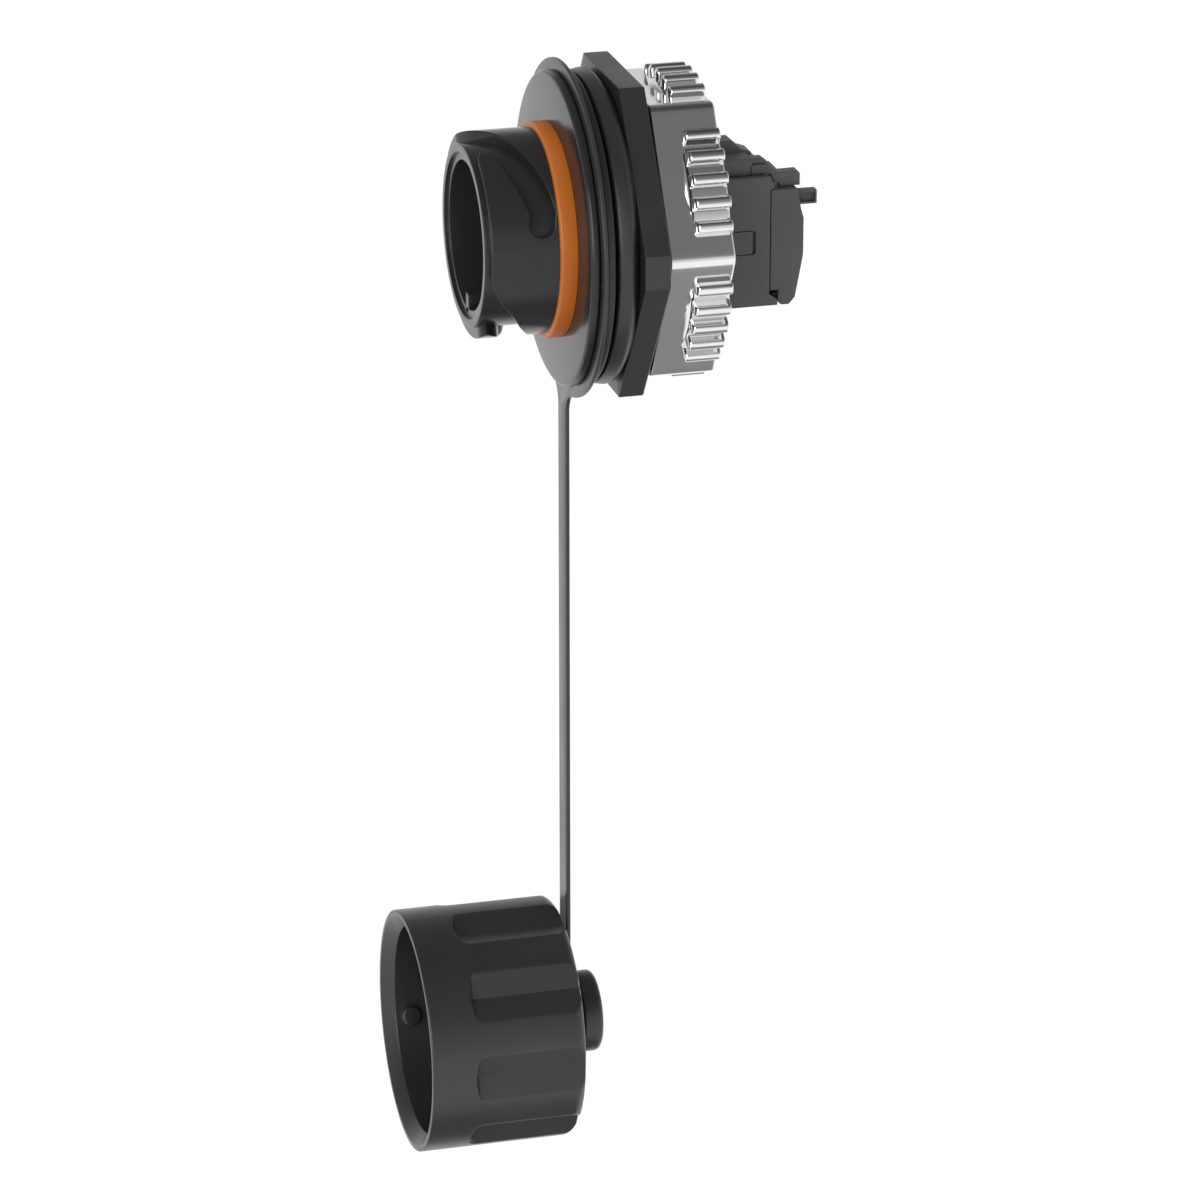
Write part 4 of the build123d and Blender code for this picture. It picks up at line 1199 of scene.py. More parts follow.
@dataclass
class MetalNut:
    """Plated hex nut with a knurled rear half.

    Attributes:
        flats: Width across the flats.
        turn: Angle of the hexagon's first corner, in degrees.
        corner_round: Radius of the hexagon's corners.
        edges: Round of the hexagon's front and rear edge.
        bore: Radius of the hole.
        lip_r, lip_thick, lip_edge: Hole, thickness and round of the rear lip.
        root_r, tip_r: Radius of the knurl's floor and of its crests.
        teeth, flat_teeth: Crests that a full circle would hold, and crests on each flat.
        knurl_length: Length of the knurl.
        rear_set: Distance from the nut's rear face to the knurl's.
        cove, cove_sink: Radius of the hollow before the knurl's floor, and its start's depth.
        ring_edge: Round of the knurl's rear edge, between the crests.
        ring_seat: Distance between the bore and the knurl ring's hidden side.
        tooth_half: Half the width of a crest where it is straight.
        tooth_round: Round of a crest's top.
        tooth_lean: How much narrower a crest is at its top, on each side.
        root_round, root_sink: Round at a crest's foot, and how far it dips under the floor.
        bury: Depth of a crest's hidden side under that floor.
        front_round, rear_round: Length over which each end of a crest is rounded.
        end_drop, end_narrow: How much lower a crest's very front is, and its share narrower.
        rear_share: How much of that its rear end has.
    """

    flats: float = 33.6
    turn: float = 1.5
    corner_round: float = 1.5
    edges: Point2 = (0.22, 0.35)
    bore: float = Barrel.shank_r + THREAD_GAP
    lip_r: float = 12.4
    lip_thick: float = 1.2
    lip_edge: float = 0.2
    root_r: float = 17.5
    tip_r: float = 19.02
    teeth: int = 40
    flat_teeth: int = 5
    knurl_length: float = 4.45
    rear_set: float = 0.06
    cove: float = 1.2
    cove_sink: float = 0.03
    ring_edge: float = 0.25
    ring_seat: float = 0.5
    tooth_half: float = 0.78
    tooth_round: float = 0.62
    tooth_lean: float = 0.04
    root_round: float = 0.2
    root_sink: float = 0.06
    bury: float = 0.16
    front_round: float = 0.45
    rear_round: float = 0.25
    end_drop: float = 0.8
    rear_share: float = 0.75
    end_narrow: float = 0.28

    def _tooth_section(self) -> list[Point2]:
        """Section of one crest, from the foot of one side to the foot of the other.

        Returns:
            Points as (sideways, radius).
        """
        half, flare, tip = self.tooth_half, self.root_round, self.tooth_round
        foot = (half + flare, self.root_r + flare - self.root_sink)
        right = arc(foot, flare, 270, 180, 4)
        right += arc((half - tip - self.tooth_lean, self.tip_r - tip), tip, 0, 90, 6)
        left = [(-t, r) for t, r in reversed(right)]
        low = self.root_r - self.bury
        return [(half + flare, low), *right, *left, (-half - flare, low)]

    def _tooth(self, front: float, rear: float) -> Draft:
        """One crest along +X, with rounded ends.

        Args:
            front: Y of its front end.
            rear: Y of its rear end.

        Returns:
            The crest's mesh.
        """
        fore, aft = self.front_round, self.rear_round
        turns = quarter_turn(5)
        stations = [(front + fore * (1 - math.cos(a)), 1 - math.sin(a)) for a in turns]
        stations += [(front + fore + HOLD, 0.0), (rear - aft - HOLD, 0.0)]
        turns.reverse()
        share = self.rear_share
        stations += [(rear - aft * (1 - math.cos(a)), share * (1 - math.sin(a))) for a in turns]
        draft = Draft()
        rings: list[list[Point3]] = []
        for y, drop in stations:
            ring = []
            for t, r in self._tooth_section():
                down = min(max(r - self.root_r, 0.0), drop * self.end_drop)
                ring.append((r - down, y, t * (1 - self.end_narrow * drop)))
            rings.append(ring)
        numbers = draft.grid(rings)
        draft.faces.append(tuple(numbers[0]))
        draft.faces.append(tuple(reversed(numbers[-1])))
        return draft

    def _hexagon(self, nut: Draft, front: float, rear: float) -> None:
        """Add the six flats with the hole and its rear lip.

        Args:
            nut: Mesh that gets them.
            front: Y of the front face.
            rear: Y of the rear face.
        """
        reach = self.flats / math.sqrt(3)
        turns = [math.radians(60 * i + self.turn) for i in range(6)]
        corners = [(reach * math.cos(a), reach * math.sin(a), self.corner_round) for a in turns]
        lip = rear - self.lip_thick
        soft = arc((self.lip_r + self.lip_edge, rear - self.lip_edge), self.lip_edge, 90, 180, 4)
        hole = (*soft, (self.lip_r, lip), (self.bore, lip), (self.bore, front))
        nut.collar(Outline(tuple(corners), 10, 24), hole, front, rear, self.edges, 5)

    def _knurl_floor(self, nut: Draft, front: float, rear: float) -> None:
        """Add the ring between the crests, with the hollow in front of it.

        Args:
            nut: Mesh that gets the ring.
            front: Y at which the hollow ends.
            rear: Y of the knurl's rear face.
        """
        rise = self.root_r - self.flats / 2 + self.cove_sink
        sweep = math.acos(1 - rise / self.cove)
        start = front - self.cove * math.sin(sweep)
        centre = (self.root_r - rise + self.cove, start)
        edge, inner = self.ring_edge, self.bore + self.ring_seat
        profile = [(inner, start), *arc(centre, self.cove, 180, 180 - math.degrees(sweep), 10)]
        profile += [(self.root_r, front + HOLD), (self.root_r, rear - edge - HOLD)]
        profile += arc((self.root_r - edge, rear - edge), edge, 0, 90, 4)
        profile.append((inner, rear))
        nut.lathe(profile, 252)

    def build(self, shop: Workshop) -> None:
        """Make the hexagon with the knurl's floor, and the crests.

        Args:
            shop: Shared tools.
        """
        low, high = node_span("module_nut")
        rear = high.y - self.rear_set
        front = rear - self.knurl_length
        nut = Draft()
        self._hexagon(nut, low.y, high.y)
        self._knurl_floor(nut, front, rear)
        ring = shop.make(nut, "metal_nut", "module_nut")
        overlap = 0.1
        tooth = shop.make(self._tooth(front - overlap, rear), "metal_nut_teeth", "module_nut")
        pitch = 360 / self.teeth
        first = 30 + self.turn - pitch * (self.flat_teeth - 1) / 2
        shop.copies.apply(tooth, self.flat_teeth, pitch, first)
        shop.copies.apply(tooth, 6, 60)
        shop.settle(ring, Body.MODULE_NUT, "module_nut")
        shop.settle(tooth, Body.MODULE_NUT, "module_nut")


@dataclass
class Tether:
    """Flat moulded ring, strap and eye that hold the cap.

    Attributes:
        drop: Distance from the jack's axis to the cap's.
        width: Width of the strap.
        ring_r: Radius of the ring on the hub.
        eye_r: Radius of the eye on the cap's neck.
        gap: Clearance of the holes in both.
        fillet: Radius of the blend from the ring into the strap, and half that at the eye.
        edge: Round of the edges.
    """

    drop: float
    width: float = 3.75
    ring_r: float = 20.6
    eye_r: float = 5.6
    gap: float = 0.06
    fillet: float = 3.0
    edge: float = 0.12

    def _blend(self, radius: float, fillet: float, steps: int) -> list[Point2]:
        """Line from a ring's edge into the strap's right side, the ring's centre at the origin.

        Args:
            radius: Radius of the ring.
            fillet: Radius of the blend.
            steps: Chords in the blend.

        Returns:
            Points from the ring down to the strap.
        """
        half = self.width / 2
        centre_x = half + fillet
        centre_z = -math.sqrt((radius + fillet) ** 2 - centre_x**2)
        start = math.degrees(math.atan2(-centre_z, -centre_x))
        return arc((centre_x, centre_z), fillet, start, 180, steps)

    def build(self, shop: Workshop) -> None:
        """Make the strap with both its rings.

        Args:
            shop: Shared tools.
        """
        low, high = node_span("cap_tether")
        upper = self._blend(self.ring_r, self.fillet, 16)
        lower = self._blend(self.eye_r, self.fillet / 2, 12)
        lower = [(x, -self.drop - z) for x, z in reversed(lower)]
        top_angle = math.degrees(math.atan2(upper[0][1], upper[0][0]))
        eye_angle = math.degrees(math.atan2(lower[-1][1] + self.drop, lower[-1][0]))
        right = upper + lower
        outline = right + arc((0, -self.drop), self.eye_r, eye_angle, -180 - eye_angle, 48)[1:-1]
        outline += [(-x, z) for x, z in reversed(right)]
        outline += arc((0, 0), self.ring_r, -180 - top_angle, top_angle - 360, 140)[1:-1]
        strap = Draft()
        strap.prism(sharp(outline), Side.ALONG_Y, low.y, high.y, self.edge, 3)
        piece = shop.make(strap, "cap_strap", "cap_tether")
        start, end = low.y - 1, high.y + 1
        holes = Draft()
        holes.rod(Barrel.hub_r + self.gap, start, end, 160)
        holes.rod(Cap.neck_r + self.gap, start, end, 48, (0, -self.drop))
        cut_away(piece, holes)
        shop.settle(piece, Body.TETHER, "cap_tether")


@dataclass
class Cap:
    """Protective cap with its grip recesses, lugs, neck and knob.

    Attributes:
        drop: Distance from the jack's axis to the cap's.
        front: Y of the rim.
        knob_end: Y of the knob's end.
        length: Length of the shell.
        outer_r: Radius of the shell.
        rim_r, rim_depth: Inner radius at the rim, and depth of the cone behind it.
        rim_edge: Round of the rim's outer edge.
        bore_r: Inner radius behind the cone.
        end_wall: Thickness of the rear wall.
        grips, grip_columns: Number of grip recesses, and steps round the shell for each.
        grip_phase: Angle of the first recess, in degrees.
        grip_length, grip_half: Length and half width of a recess.
        grip_bottom_r: Radius of the crease along its middle.
        grip_slope: Slant of its floor on each side of the crease, in degrees.
        grip_corner: Round of its corners.
        wall_slope: Slant of its walls, as run over rise.
        blend: Width of the soft change between a wall and the shell.
        rear_round: Round of the shell's rear edge.
        neck_r, neck_length: Radius and length of the neck that the strap's eye turns on.
        knob_r, knob_round: Radius of the knob and round of its end.
        lug_r, lug_height: Radius of a bayonet lug and its height over the bore's wall.
        lug_depth: Distance from the rim to a lug's middle.
        lug_root: Length of a lug that is hidden in the wall.
        lug_angles: Angle of each lug, in degrees.
    """

    drop: float
    front: float
    knob_end: float
    length: float = 20.0
    outer_r: float = 15.4
    rim_r: float = 14.7
    rim_depth: float = 1.5
    rim_edge: float = 0.2
    bore_r: float = 13.2
    end_wall: float = 2.4
    grips: int = 9
    grip_columns: int = 54
    grip_phase: float = 38.0
    grip_length: float = 13.9
    grip_half: float = 3.15
    grip_bottom_r: float = 14.1
    grip_slope: float = 17.0
    grip_corner: float = 1.2
    wall_slope: float = 0.42
    blend: float = 0.06
    rear_round: float = 1.5
    neck_r: float = 3.0
    neck_length: float = 2.15
    knob_r: float = 5.2
    knob_round: float = 0.75
    lug_r: float = 1.25
    lug_height: float = 1.3
    lug_depth: float = 3.4
    lug_root: float = 0.3
    lug_angles: tuple[float, ...] = (197.8, 314.3, 70.8)

    @property
    def rear(self) -> float:
        """Y of the cap's rear face."""
        return self.front + self.length

    @property
    def centre(self) -> Vector:
        """Point on the cap's axis."""
        return Vector((0, 0, -self.drop))

    def _radius(self, angle: float, y: float) -> float:
        """Outer radius of the cap, with a shallow V-shaped recess at each grip.

        Args:
            angle: Angle round the cap, in radians.
            y: Place along it.

        Returns:
            The radius there.
        """
        pitch = 360 / self.grips
        off = (math.degrees(angle) - self.grip_phase + pitch / 2) % pitch - pitch / 2
        t = self.outer_r * math.sin(math.radians(off))
        slope = math.radians(self.grip_slope)
        lean = math.cos(slope) / math.cos(abs(math.radians(off)) + slope)
        floor_r = self.grip_bottom_r * lean
        corner = self.grip_corner
        dx = abs(t) - self.grip_half + corner
        dy = (self.rear - self.grip_length + corner) - y
        outside = math.hypot(max(dx, 0), max(dy, 0)) + min(max(dx, dy), 0) - corner
        recess = floor_r + max(outside, 0.0) / self.wall_slope
        past = max(y - (self.rear - self.rear_round), 0.0) / self.rear_round
        shell = self.outer_r - self.rear_round * (1 - math.sqrt(max(1 - past * past, 0.0)))
        return smooth_min(shell, recess, self.blend)

    def _rows(self) -> list[float]:
        """Y of each row of the outer skin, closest where the recesses start and at the rear.

        Returns:
            Stations from the rim to the rear face.
        """
        fine, start = 0.14, self.rear - self.grip_length
        rows = [self.front + fine * i for i in range(3)]
        rows += [self.front + 0.8 + 0.75 * i for i in range(7)]
        rows += [start - 1.5 + fine * i for i in range(26)]
        rows += [start + 2.6 + 0.7 * i for i in range(12)]
        rows += [self.rear - self.rear_round * math.cos(a) for a in quarter_turn(12)]
        return sorted({round(y, 4) for y in rows if y <= self.rear})

    def _ring(self, y: float, radius: Callable[[float], float]) -> list[Point3]:
        """Ring of points about the cap's axis.

        Args:
            y: Place along the axis.
            radius: Gives the radius at an angle.

        Returns:
            Points, the first at the middle of a recess.
        """
        count = self.grips * self.grip_columns
        phase = math.radians(self.grip_phase)
        angles = [phase + 2 * math.pi * i / count for i in range(count)]
        return [tuple(Vector(p) + self.centre) for p in polar_ring(radius, angles, y)]

    def _outside(self) -> list[list[Point3]]:
        """Rings of the outer skin.

        Returns:
            Rings from the rim's edge to the neck.
        """
        rim = self.rim_edge
        rings = [
            self._ring(
                self.front + rim * (1 - math.cos(turn)),
                lambda _, turn=turn: self.outer_r - rim * (1 - math.sin(turn)),
            )
            for turn in quarter_turn(4)
        ]
        first = self.front + rim + HOLD
        rings += [self._ring(y, lambda a, y=y: self._radius(a, y)) for y in self._rows() if y > first]
        under_neck = self.neck_r + 0.3
        rings.append(self._ring(self.rear, lambda _: under_neck))
        return rings

    def _inside(self) -> list[list[Point3]]:
        """Rings of the inner wall.

        Returns:
            Rings from the middle of the rear wall to the rim.
        """
        floor = self.rear - self.end_wall
        profile = [
            (0.5, floor, 0.0), (self.bore_r, floor, 0.6),
            (self.bore_r, self.front + self.rim_depth, 0.2), (self.rim_r, self.front, 0.1),
            (self.rim_r + 0.4, self.front, 0.0),
        ]
        # the last corner only turns the rim's round, and the outer skin takes over before it
        return [self._ring(y, lambda _, r=r: r) for r, y in rounded(profile)[:-1]]

    def _shell(self) -> Draft:
        """Shell with its neck and knob.

        Returns:
            Its mesh.
        """
        shell = Draft()
        outside = shell.grid(self._outside())
        inside = shell.grid(self._inside())
        shell.bridge(inside[-1], outside[0])
        floor = shell.ring([(0, self.rear - self.end_wall, -self.drop)])[0]
        back = shell.ring([(0, self.rear, -self.drop)])[0]
        count = len(outside[0])
        for i in range(count):
            j = (i + 1) % count
            shell.faces.append((floor, inside[0][i], inside[0][j]))
            shell.faces.append((back, outside[-1][j], outside[-1][i]))
        root, neck_end = self.rear - 0.5, self.rear + self.neck_length
        profile = [
            (0.0, root, 0.0), (self.neck_r, root, 0.0),
            (self.neck_r, neck_end, 0.1), (self.knob_r, neck_end, 0.3),
            (self.knob_r, self.knob_end, self.knob_round),
            (0.0, self.knob_end, 0.0),
        ]
        shell.lathe(rounded(profile), 96, (0, -self.drop))
        return shell

    def _lugs(self) -> Draft:
        """Bayonet lugs inside the rim.

        Returns:
            Their mesh.
        """
        length = self.lug_height + self.lug_root
        profile = [
            (0.0, 0.0, 0.0), (self.lug_r, 0.0, 0.25),
            (self.lug_r, length, 0.0), (0.0, length, 0.0),
        ]
        one = Draft()
        one.lathe(rounded(profile), 40)
        tip, depth = self.bore_r - self.lug_height, self.front + self.lug_depth
        places = [Vector((tip + y, depth + x, z)) for x, y, z in one.points]
        lugs = Draft()
        for angle in self.lug_angles:
            spin = Matrix.Rotation(-math.radians(angle), 3, "Y")
            numbers = lugs.ring([tuple(spin @ place + self.centre) for place in places])
            lugs.faces += [tuple(numbers[i] for i in face) for face in one.faces]
        return lugs

    def build(self, shop: Workshop) -> None:
        """Make the shell and the lugs.

        Args:
            shop: Shared tools.
        """
        cap = shop.make(self._shell(), "cap_shell", "cap_body")
        lugs = shop.make(self._lugs(), "cap_lugs", "cap_body")
        shop.settle(cap, Body.CAP, "cap_body")
        shop.settle(lugs, Body.CAP, "cap_body")


@dataclass
class Module:
    """Field-wired module behind the nuts: lower shell, upper shell and rear cover.

    Attributes:
        front: Y of the shells' front ends inside the nut.
        bottom: Z of the underside.
        part_line: Z of the seam between the shells.
        pivot: Y and Z of the cover's hinge.
        pivot_step: Distance from the shells' rear face to the hinge.
        cover_length: Distance from that face to the cover's rear face.
        half_width: Half the width across the shells.
        wall: Thickness of the walls.
        floor_thick: Thickness of the lower shell's floor.
        lip_drop: Height of the step in the floor's rear lip.
        part_gap: Width of the seams.
        slant, slant_rise: Length and height of the walls' slant over the cover.
        slant_gap: Gap between that slant and the hook.
        latch_rear_step, latch_length: Place of the side latch before the rear face, and length.
        latch_top, latch_bottom: Z of its upper and of its lower side.
        groove, groove_depth: Width and depth of the line round the latch.
        groove_rear: Width of that line behind the latch, and the round of its corners.
        knuckle_r, knuckle_root: Radius of the hinge knuckle, and its web's length and drop.
        ridge_set_in, ridge_width: Distance from the near side to the lid's ridge, and width.
        ridge_height: Height of the ridge over the seam.
        ridge_rear_step: Distance from the rear face to the lid's rear end.
        far_slope: Width and height of the slope on the ridge's far side.
        far_edge: Width, height and edge height of the lid's shoulder on its far side.
        roof_line, roof_width: Rear end of the ridge's roof, each corner as distance behind
            the lid, height over the ridge and round, and the roof's width.
        wedge_line: Corners of the wedge behind the ridge, given in the same way.
        arm_width, arm_height: Width of the arm with the hook, and height over the lid's base.
        arm_reach: Distance from the rear face to the hook's end.
        neck_start, neck_height: The same distance and height for the hook's thin part.
        hook_gap: Gap between the hook and the cover.
        hook_step: Where the step under the hook starts and ends, behind the slant.
        hook_end: Length and height of the slope at the hook's end.
        shelf_thick, shield: Thickness of the shelf beside the arm, and margin, depth and lift
            of the wall under it.
        cover_top: Z of the cover's top.
        cover_chamfer: Distance from the cover's rear face to its top face.
        cover_back: Corners of the cover's bowed back: distance behind its rear face, Z and
            round of each.
        back_lean: How far the back leans in at its lower end.
        heel_r, heel_gap: Radius of the cover's heel and the clearance in front of it.
        heel_back: Distance from the cover's rear face to its underside.
        notch_height: Height of the cover's notch over the floor.
        knuckle_room_r: Radius of the cover's hole for the knuckle.
        pin_r, pin_reach: Radius of the hinge's pins, and their reach into knuckle and wall.
        tab_side: Distances from the near side to both sides of the lifting tab.
        tab_root: Distance from the cover's rear face to the tab's front end.
        tab_heights: Z of its underside and of its top.
        pocket_depth: Distance from the near side to the bottom of the tab's pocket.
        pocket_ends: Margin of the pocket at the tab's root and at its end.
        pocket_heights: Z of the pocket's underside and of its top.
        cable_r, cable_z: Radius of the cable entry and Z of its middle.
    """

    front: float
    bottom: float
    part_line: float
    pivot: Point2
    pivot_step: float = 1.7
    cover_length: float = 4.22
    half_width: float = 6.2
    wall: float = 1.1
    floor_thick: float = 1.45
    lip_drop: float = 0.7
    part_gap: float = 0.08
    slant: float = 0.55
    slant_rise: float = 0.5
    slant_gap: float = 0.2
    latch_rear_step: float = 2.25
    latch_length: float = 2.2
    latch_top: float = -0.36
    latch_bottom: float = -3.2
    groove: float = 0.12
    groove_rear: float = 0.42
    groove_depth: float = 0.5
    knuckle_r: float = 0.56
    knuckle_root: Point2 = (1.0, 0.12)
    ridge_set_in: float = 1.0
    ridge_height: float = 2.15
    ridge_rear_step: float = 2.05
    ridge_width: float = 6.0
    far_slope: Point2 = (1.2, 1.2)
    far_edge: Point3 = (1.2, 0.7, 0.2)
    roof_line: tuple[Point3, ...] = (
        (0.9, -1.8, 0.3), (0.78, -0.04, 0.45),
        (-0.5, 0.38, 0.05), (-1.75, 1.5, 0.1),
    )
    roof_width: float = 3.0
    wedge_line: tuple[Point3, ...] = (
        (-0.5, -0.65, 0.0), (2.05, -0.65, 0.05),
        (1.3, -0.05, 0.3), (-0.5, 0.0, 0.0),
    )
    arm_width: float = 1.6
    arm_height: float = 1.22
    arm_reach: float = 3.95
    neck_start: float = 1.2
    neck_height: float = 0.15
    hook_gap: float = 0.14
    hook_step: Point2 = (0.75, 0.9)
    hook_end: Point2 = (0.3, 0.35)
    shelf_thick: float = 0.6
    shield: Point3 = (0.05, 0.62, 0.12)
    cover_top: float = 4.62
    cover_chamfer: float = 0.8
    cover_back: tuple[Point3, ...] = (
        (-0.35, 2.1, 0.5), (0.0, 0.84, 1.3),
        (0.0, -3.7, 5.0), (-0.5, -6.46, 4.0),
        (-1.0, -9.1, 0.6),
    )
    back_lean: float = 0.95
    heel_r: float = 0.62
    heel_gap: float = 0.05
    heel_back: float = 1.75
    notch_height: float = 0.45
    knuckle_room_r: float = 0.66
    pin_r: float = 0.3
    pin_reach: Point2 = (0.8, 0.3)
    tab_side: Point2 = (1.4, 0.1)
    tab_root: float = 0.85
    tab_heights: Point2 = (2.55, 4.3)
    pocket_depth: float = 0.75
    pocket_ends: Point2 = (0.25, 0.26)
    pocket_heights: Point2 = (2.83, 4.06)
    cable_r: float = 3.3
    cable_z: float = -2.6

    @property
    def rear(self) -> float:
        """Y of the shells' rear face."""
        return self.pivot[0] - self.pivot_step

    @property
    def cover_rear(self) -> float:
        """Y of the cover's rear face."""
        return self.rear + self.cover_length

    @property
    def inner(self) -> float:
        """Half the width inside the shells."""
        return self.half_width - self.wall

    @property
    def base(self) -> float:
        """Z of the lid's underside."""
        return self.part_line + self.part_gap

    @property
    def near(self) -> float:
        """X of the ridge's near side."""
        return self.half_width - self.ridge_set_in

    @property
    def far(self) -> float:
        """X of the ridge's far side."""
        return self.near - self.ridge_width

    @property
    def top(self) -> float:
        """Z of the ridge's top."""
        return self.part_line + self.ridge_height

    @property
    def back(self) -> float:
        """Y of the lid's rear end."""
        return self.rear - self.ridge_rear_step

    @staticmethod
    def _cut_can_room(piece: bpy.types.Object) -> None:
        """Take the room of the shielded socket out of a shell.

        Args:
            piece: The shell.
        """
        low, high = node_span("shield_can")
        gap = 0.1
        start = (low.x - gap, low.y - 1, low.z - gap)
        room = Draft()
        room.block(start, (high.x + gap, high.y + gap, high.z + gap), 0.02, 0.02)
        cut_away(piece, room)

    def _cut_latch_line(self, piece: bpy.types.Object, side: int) -> None:
        """Cut the narrow line round the latch tongue in one side wall.

        Args:
            piece: Lower shell.
            side: 1 for the near wall, -1 for the far one.
        """
        rear = self.rear - self.latch_rear_step
        front, end = rear - self.latch_length, rear + self.groove_rear
        top, bottom = self.latch_top, self.latch_bottom
        corners = (
            (front, bottom - self.groove, 0.0),
            (end, bottom - self.groove, self.groove_rear),
            (end, top + self.groove, self.groove_rear),
            (front, top + self.groove, 0.0), (front, top, 0.0),
            (rear, top, 0.1), (rear, bottom, 0.1),
            (front, bottom, 0.0),
        )
        depth = side * (self.half_width - self.groove_depth)
        start, stop = sorted((depth, side * (self.half_width + 1)))
        line = Draft()
        line.prism(Outline(corners), Side.ALONG_X, start, stop, 0.01, 1)
        cut_away(piece, line)

    def _lower(self, shop: Workshop) -> None:
        """Make the lower shell and its hinge knuckle.

        Args:
            shop: Shared tools.
        """
        y, z = self.pivot
        lip = y - self.heel_r - self.heel_gap
        floor = self.bottom + self.floor_thick
        corners = (
            (self.front, self.bottom, 0.1), (lip, self.bottom, 0.1),
            (lip, floor - self.lip_drop, 0.05), (self.rear, floor, 0.05),
            (self.rear, self.cover_top, 0.05),
            (self.rear + self.slant, self.cover_top + self.slant_rise, 0.03),
            (self.rear, self.part_line, 0.03), (self.front, self.part_line, 0.05),
        )
        tray = Draft()
        tray.prism(Outline(corners), Side.ALONG_X, -self.half_width, self.half_width, 0.12, 4)
        piece = shop.make(tray, "tray", "module_lower")
        high = (self.inner, self.rear + 3, self.part_line + 1)
        room = Draft()
        room.block((-self.inner, self.front - 1, floor), high, 0.05, 0.05)
        cut_away(piece, room)
        self._cut_can_room(piece)
        for side in (-1, 1):
            self._cut_latch_line(piece, side)
        length, drop = self.knuckle_root
        knuckle = arc((y, z), self.knuckle_r, -90, 90, 10)
        knuckle += [(y - length, z + self.knuckle_r), (y - length, z - drop), (y, z - drop)]
        end = self.inner - 0.2
        web = Draft()
        web.prism(sharp(knuckle), Side.ALONG_X, -end, end, 0.05, 2)
        hinge = shop.make(web, "tray_knuckle", "module_lower")
        shop.settle(piece, Body.JACK, "module_lower")
        shop.settle(hinge, Body.JACK, "module_lower")

    def _lid(self) -> Draft:
        """Lid with its ridge.

        Returns:
            Its mesh.
        """
        w, base, top = self.half_width, self.base, self.top
        run, fall = self.far_slope
        shoulder, height, edge = self.far_edge
        corners = (
            (-w, base, 0.05), (self.near, base, 0.05),
            (self.near, top, 0.12), (self.far, top, 0.8),
            (self.far - run, top - fall, 0.6), (-w + shoulder, base + height, 0.4),
            (-w, base + edge, 0.1),
        )
        lid = Draft()
        lid.prism(Outline(corners), Side.ALONG_Y, self.front, self.back, 0.12, 3)
        return lid

    def _add_hook(self, arm: Draft) -> None:
        """Add the arm whose hook lies over the cover's top.

        Args:
            arm: Mesh that gets it.
        """
        base, rear, root = self.base, self.rear, self.back - 0.3
        low = self.cover_top + self.hook_gap
        step = self.cover_top + self.slant_rise + self.part_gap
        slant, end = rear + self.slant, rear + self.arm_reach
        neck, high = base + self.neck_height, base + self.arm_height
        start, stop = self.hook_step
        run, fall = self.hook_end
        corners = (
            (root, base, 0.0), (rear + self.slant_gap, base, 0.03),
            (slant + self.slant_gap, step, 0.03), (slant + start, step, 0.03),
            (slant + stop, low, 0.03), (end, low, 0.03),
            (end, neck - fall, 0.15), (end - run, neck, 0.15),
            (rear + self.neck_start, neck - 0.04, 0.25), (rear, high, 0.2),
            (root, high, 0.0),
        )
        arm.prism(Outline(corners), Side.ALONG_X, self.near - self.arm_width, self.near, 0.07, 3)

    def _add_roof(self, arm: Draft) -> None:
        """Add the raised roof on the ridge and the wedge behind it.

        Args:
            arm: Mesh that gets it.
        """
        back, top, far = self.back, self.top, self.far
        corners = (
            (self.front, top - 0.6, 0.0),
            *shifted(self.roof_line, back, top),
            (self.front, top + self.roof_line[-1][1], 0.1),
        )
        arm.prism(Outline(corners), Side.ALONG_X, far + 0.05, far + self.roof_width, 0.25, 3)
        wedge = Outline(tuple(shifted(self.wedge_line, back, top)))
        arm.prism(wedge, Side.ALONG_X, self.near - self.arm_width, self.near - 0.1, 0.1, 3)

    def _upper(self, shop: Workshop) -> None:
        """Make the lid, and the arm with all that stands on it or hangs under it.

        Args:
            shop: Shared tools.
        """
        piece = shop.make(self._lid(), "lid", "module_upper")
        self._cut_can_room(piece)
        arm = Draft()
        self._add_hook(arm)
        self._add_roof(arm)
        side = self.near - self.arm_width
        shelf = (side, self.rear, self.base + self.shelf_thick)
        arm.block((-self.inner, self.back - 1, self.base), shelf, 0.1, 0.1)
        margin, depth, lift = self.shield
        low = (-self.inner + 2 * margin, self.rear - depth, self.cover_top + lift)
        arm.block(low, (side - margin, self.rear - margin, self.base + 0.3), 0.05, 0.05)
        hook = shop.make(arm, "lid_arm", "module_upper")
        shop.settle(piece, Body.JACK, "module_upper")
        shop.settle(hook, Body.JACK, "module_upper")

    def _cover_outline(self) -> Outline:
        """Side outline of the rear cover.

        Returns:
            The (y, z) outline.
        """
        y, z = self.pivot
        front, rear, heel = self.rear + self.part_gap, self.cover_rear, self.heel_r
        notch = self.bottom + self.floor_thick + self.notch_height
        line = [
            (y - heel, z, 0.0), (y - heel, notch, 0.04),
            (front, notch, 0.04), (front, self.cover_top, 0.03),
            (rear - self.cover_chamfer, self.cover_top, 0.15),
            *shifted(self.cover_back, rear, 0.0),
            (rear - self.heel_back, z - heel, 0.4), (y, z - heel, 0.0),
        ]
        line += [(u, v, 0.0) for u, v in arc((y, z), heel, -90, -180, 8)[1:-1]]
        return Outline(tuple(line), 8)

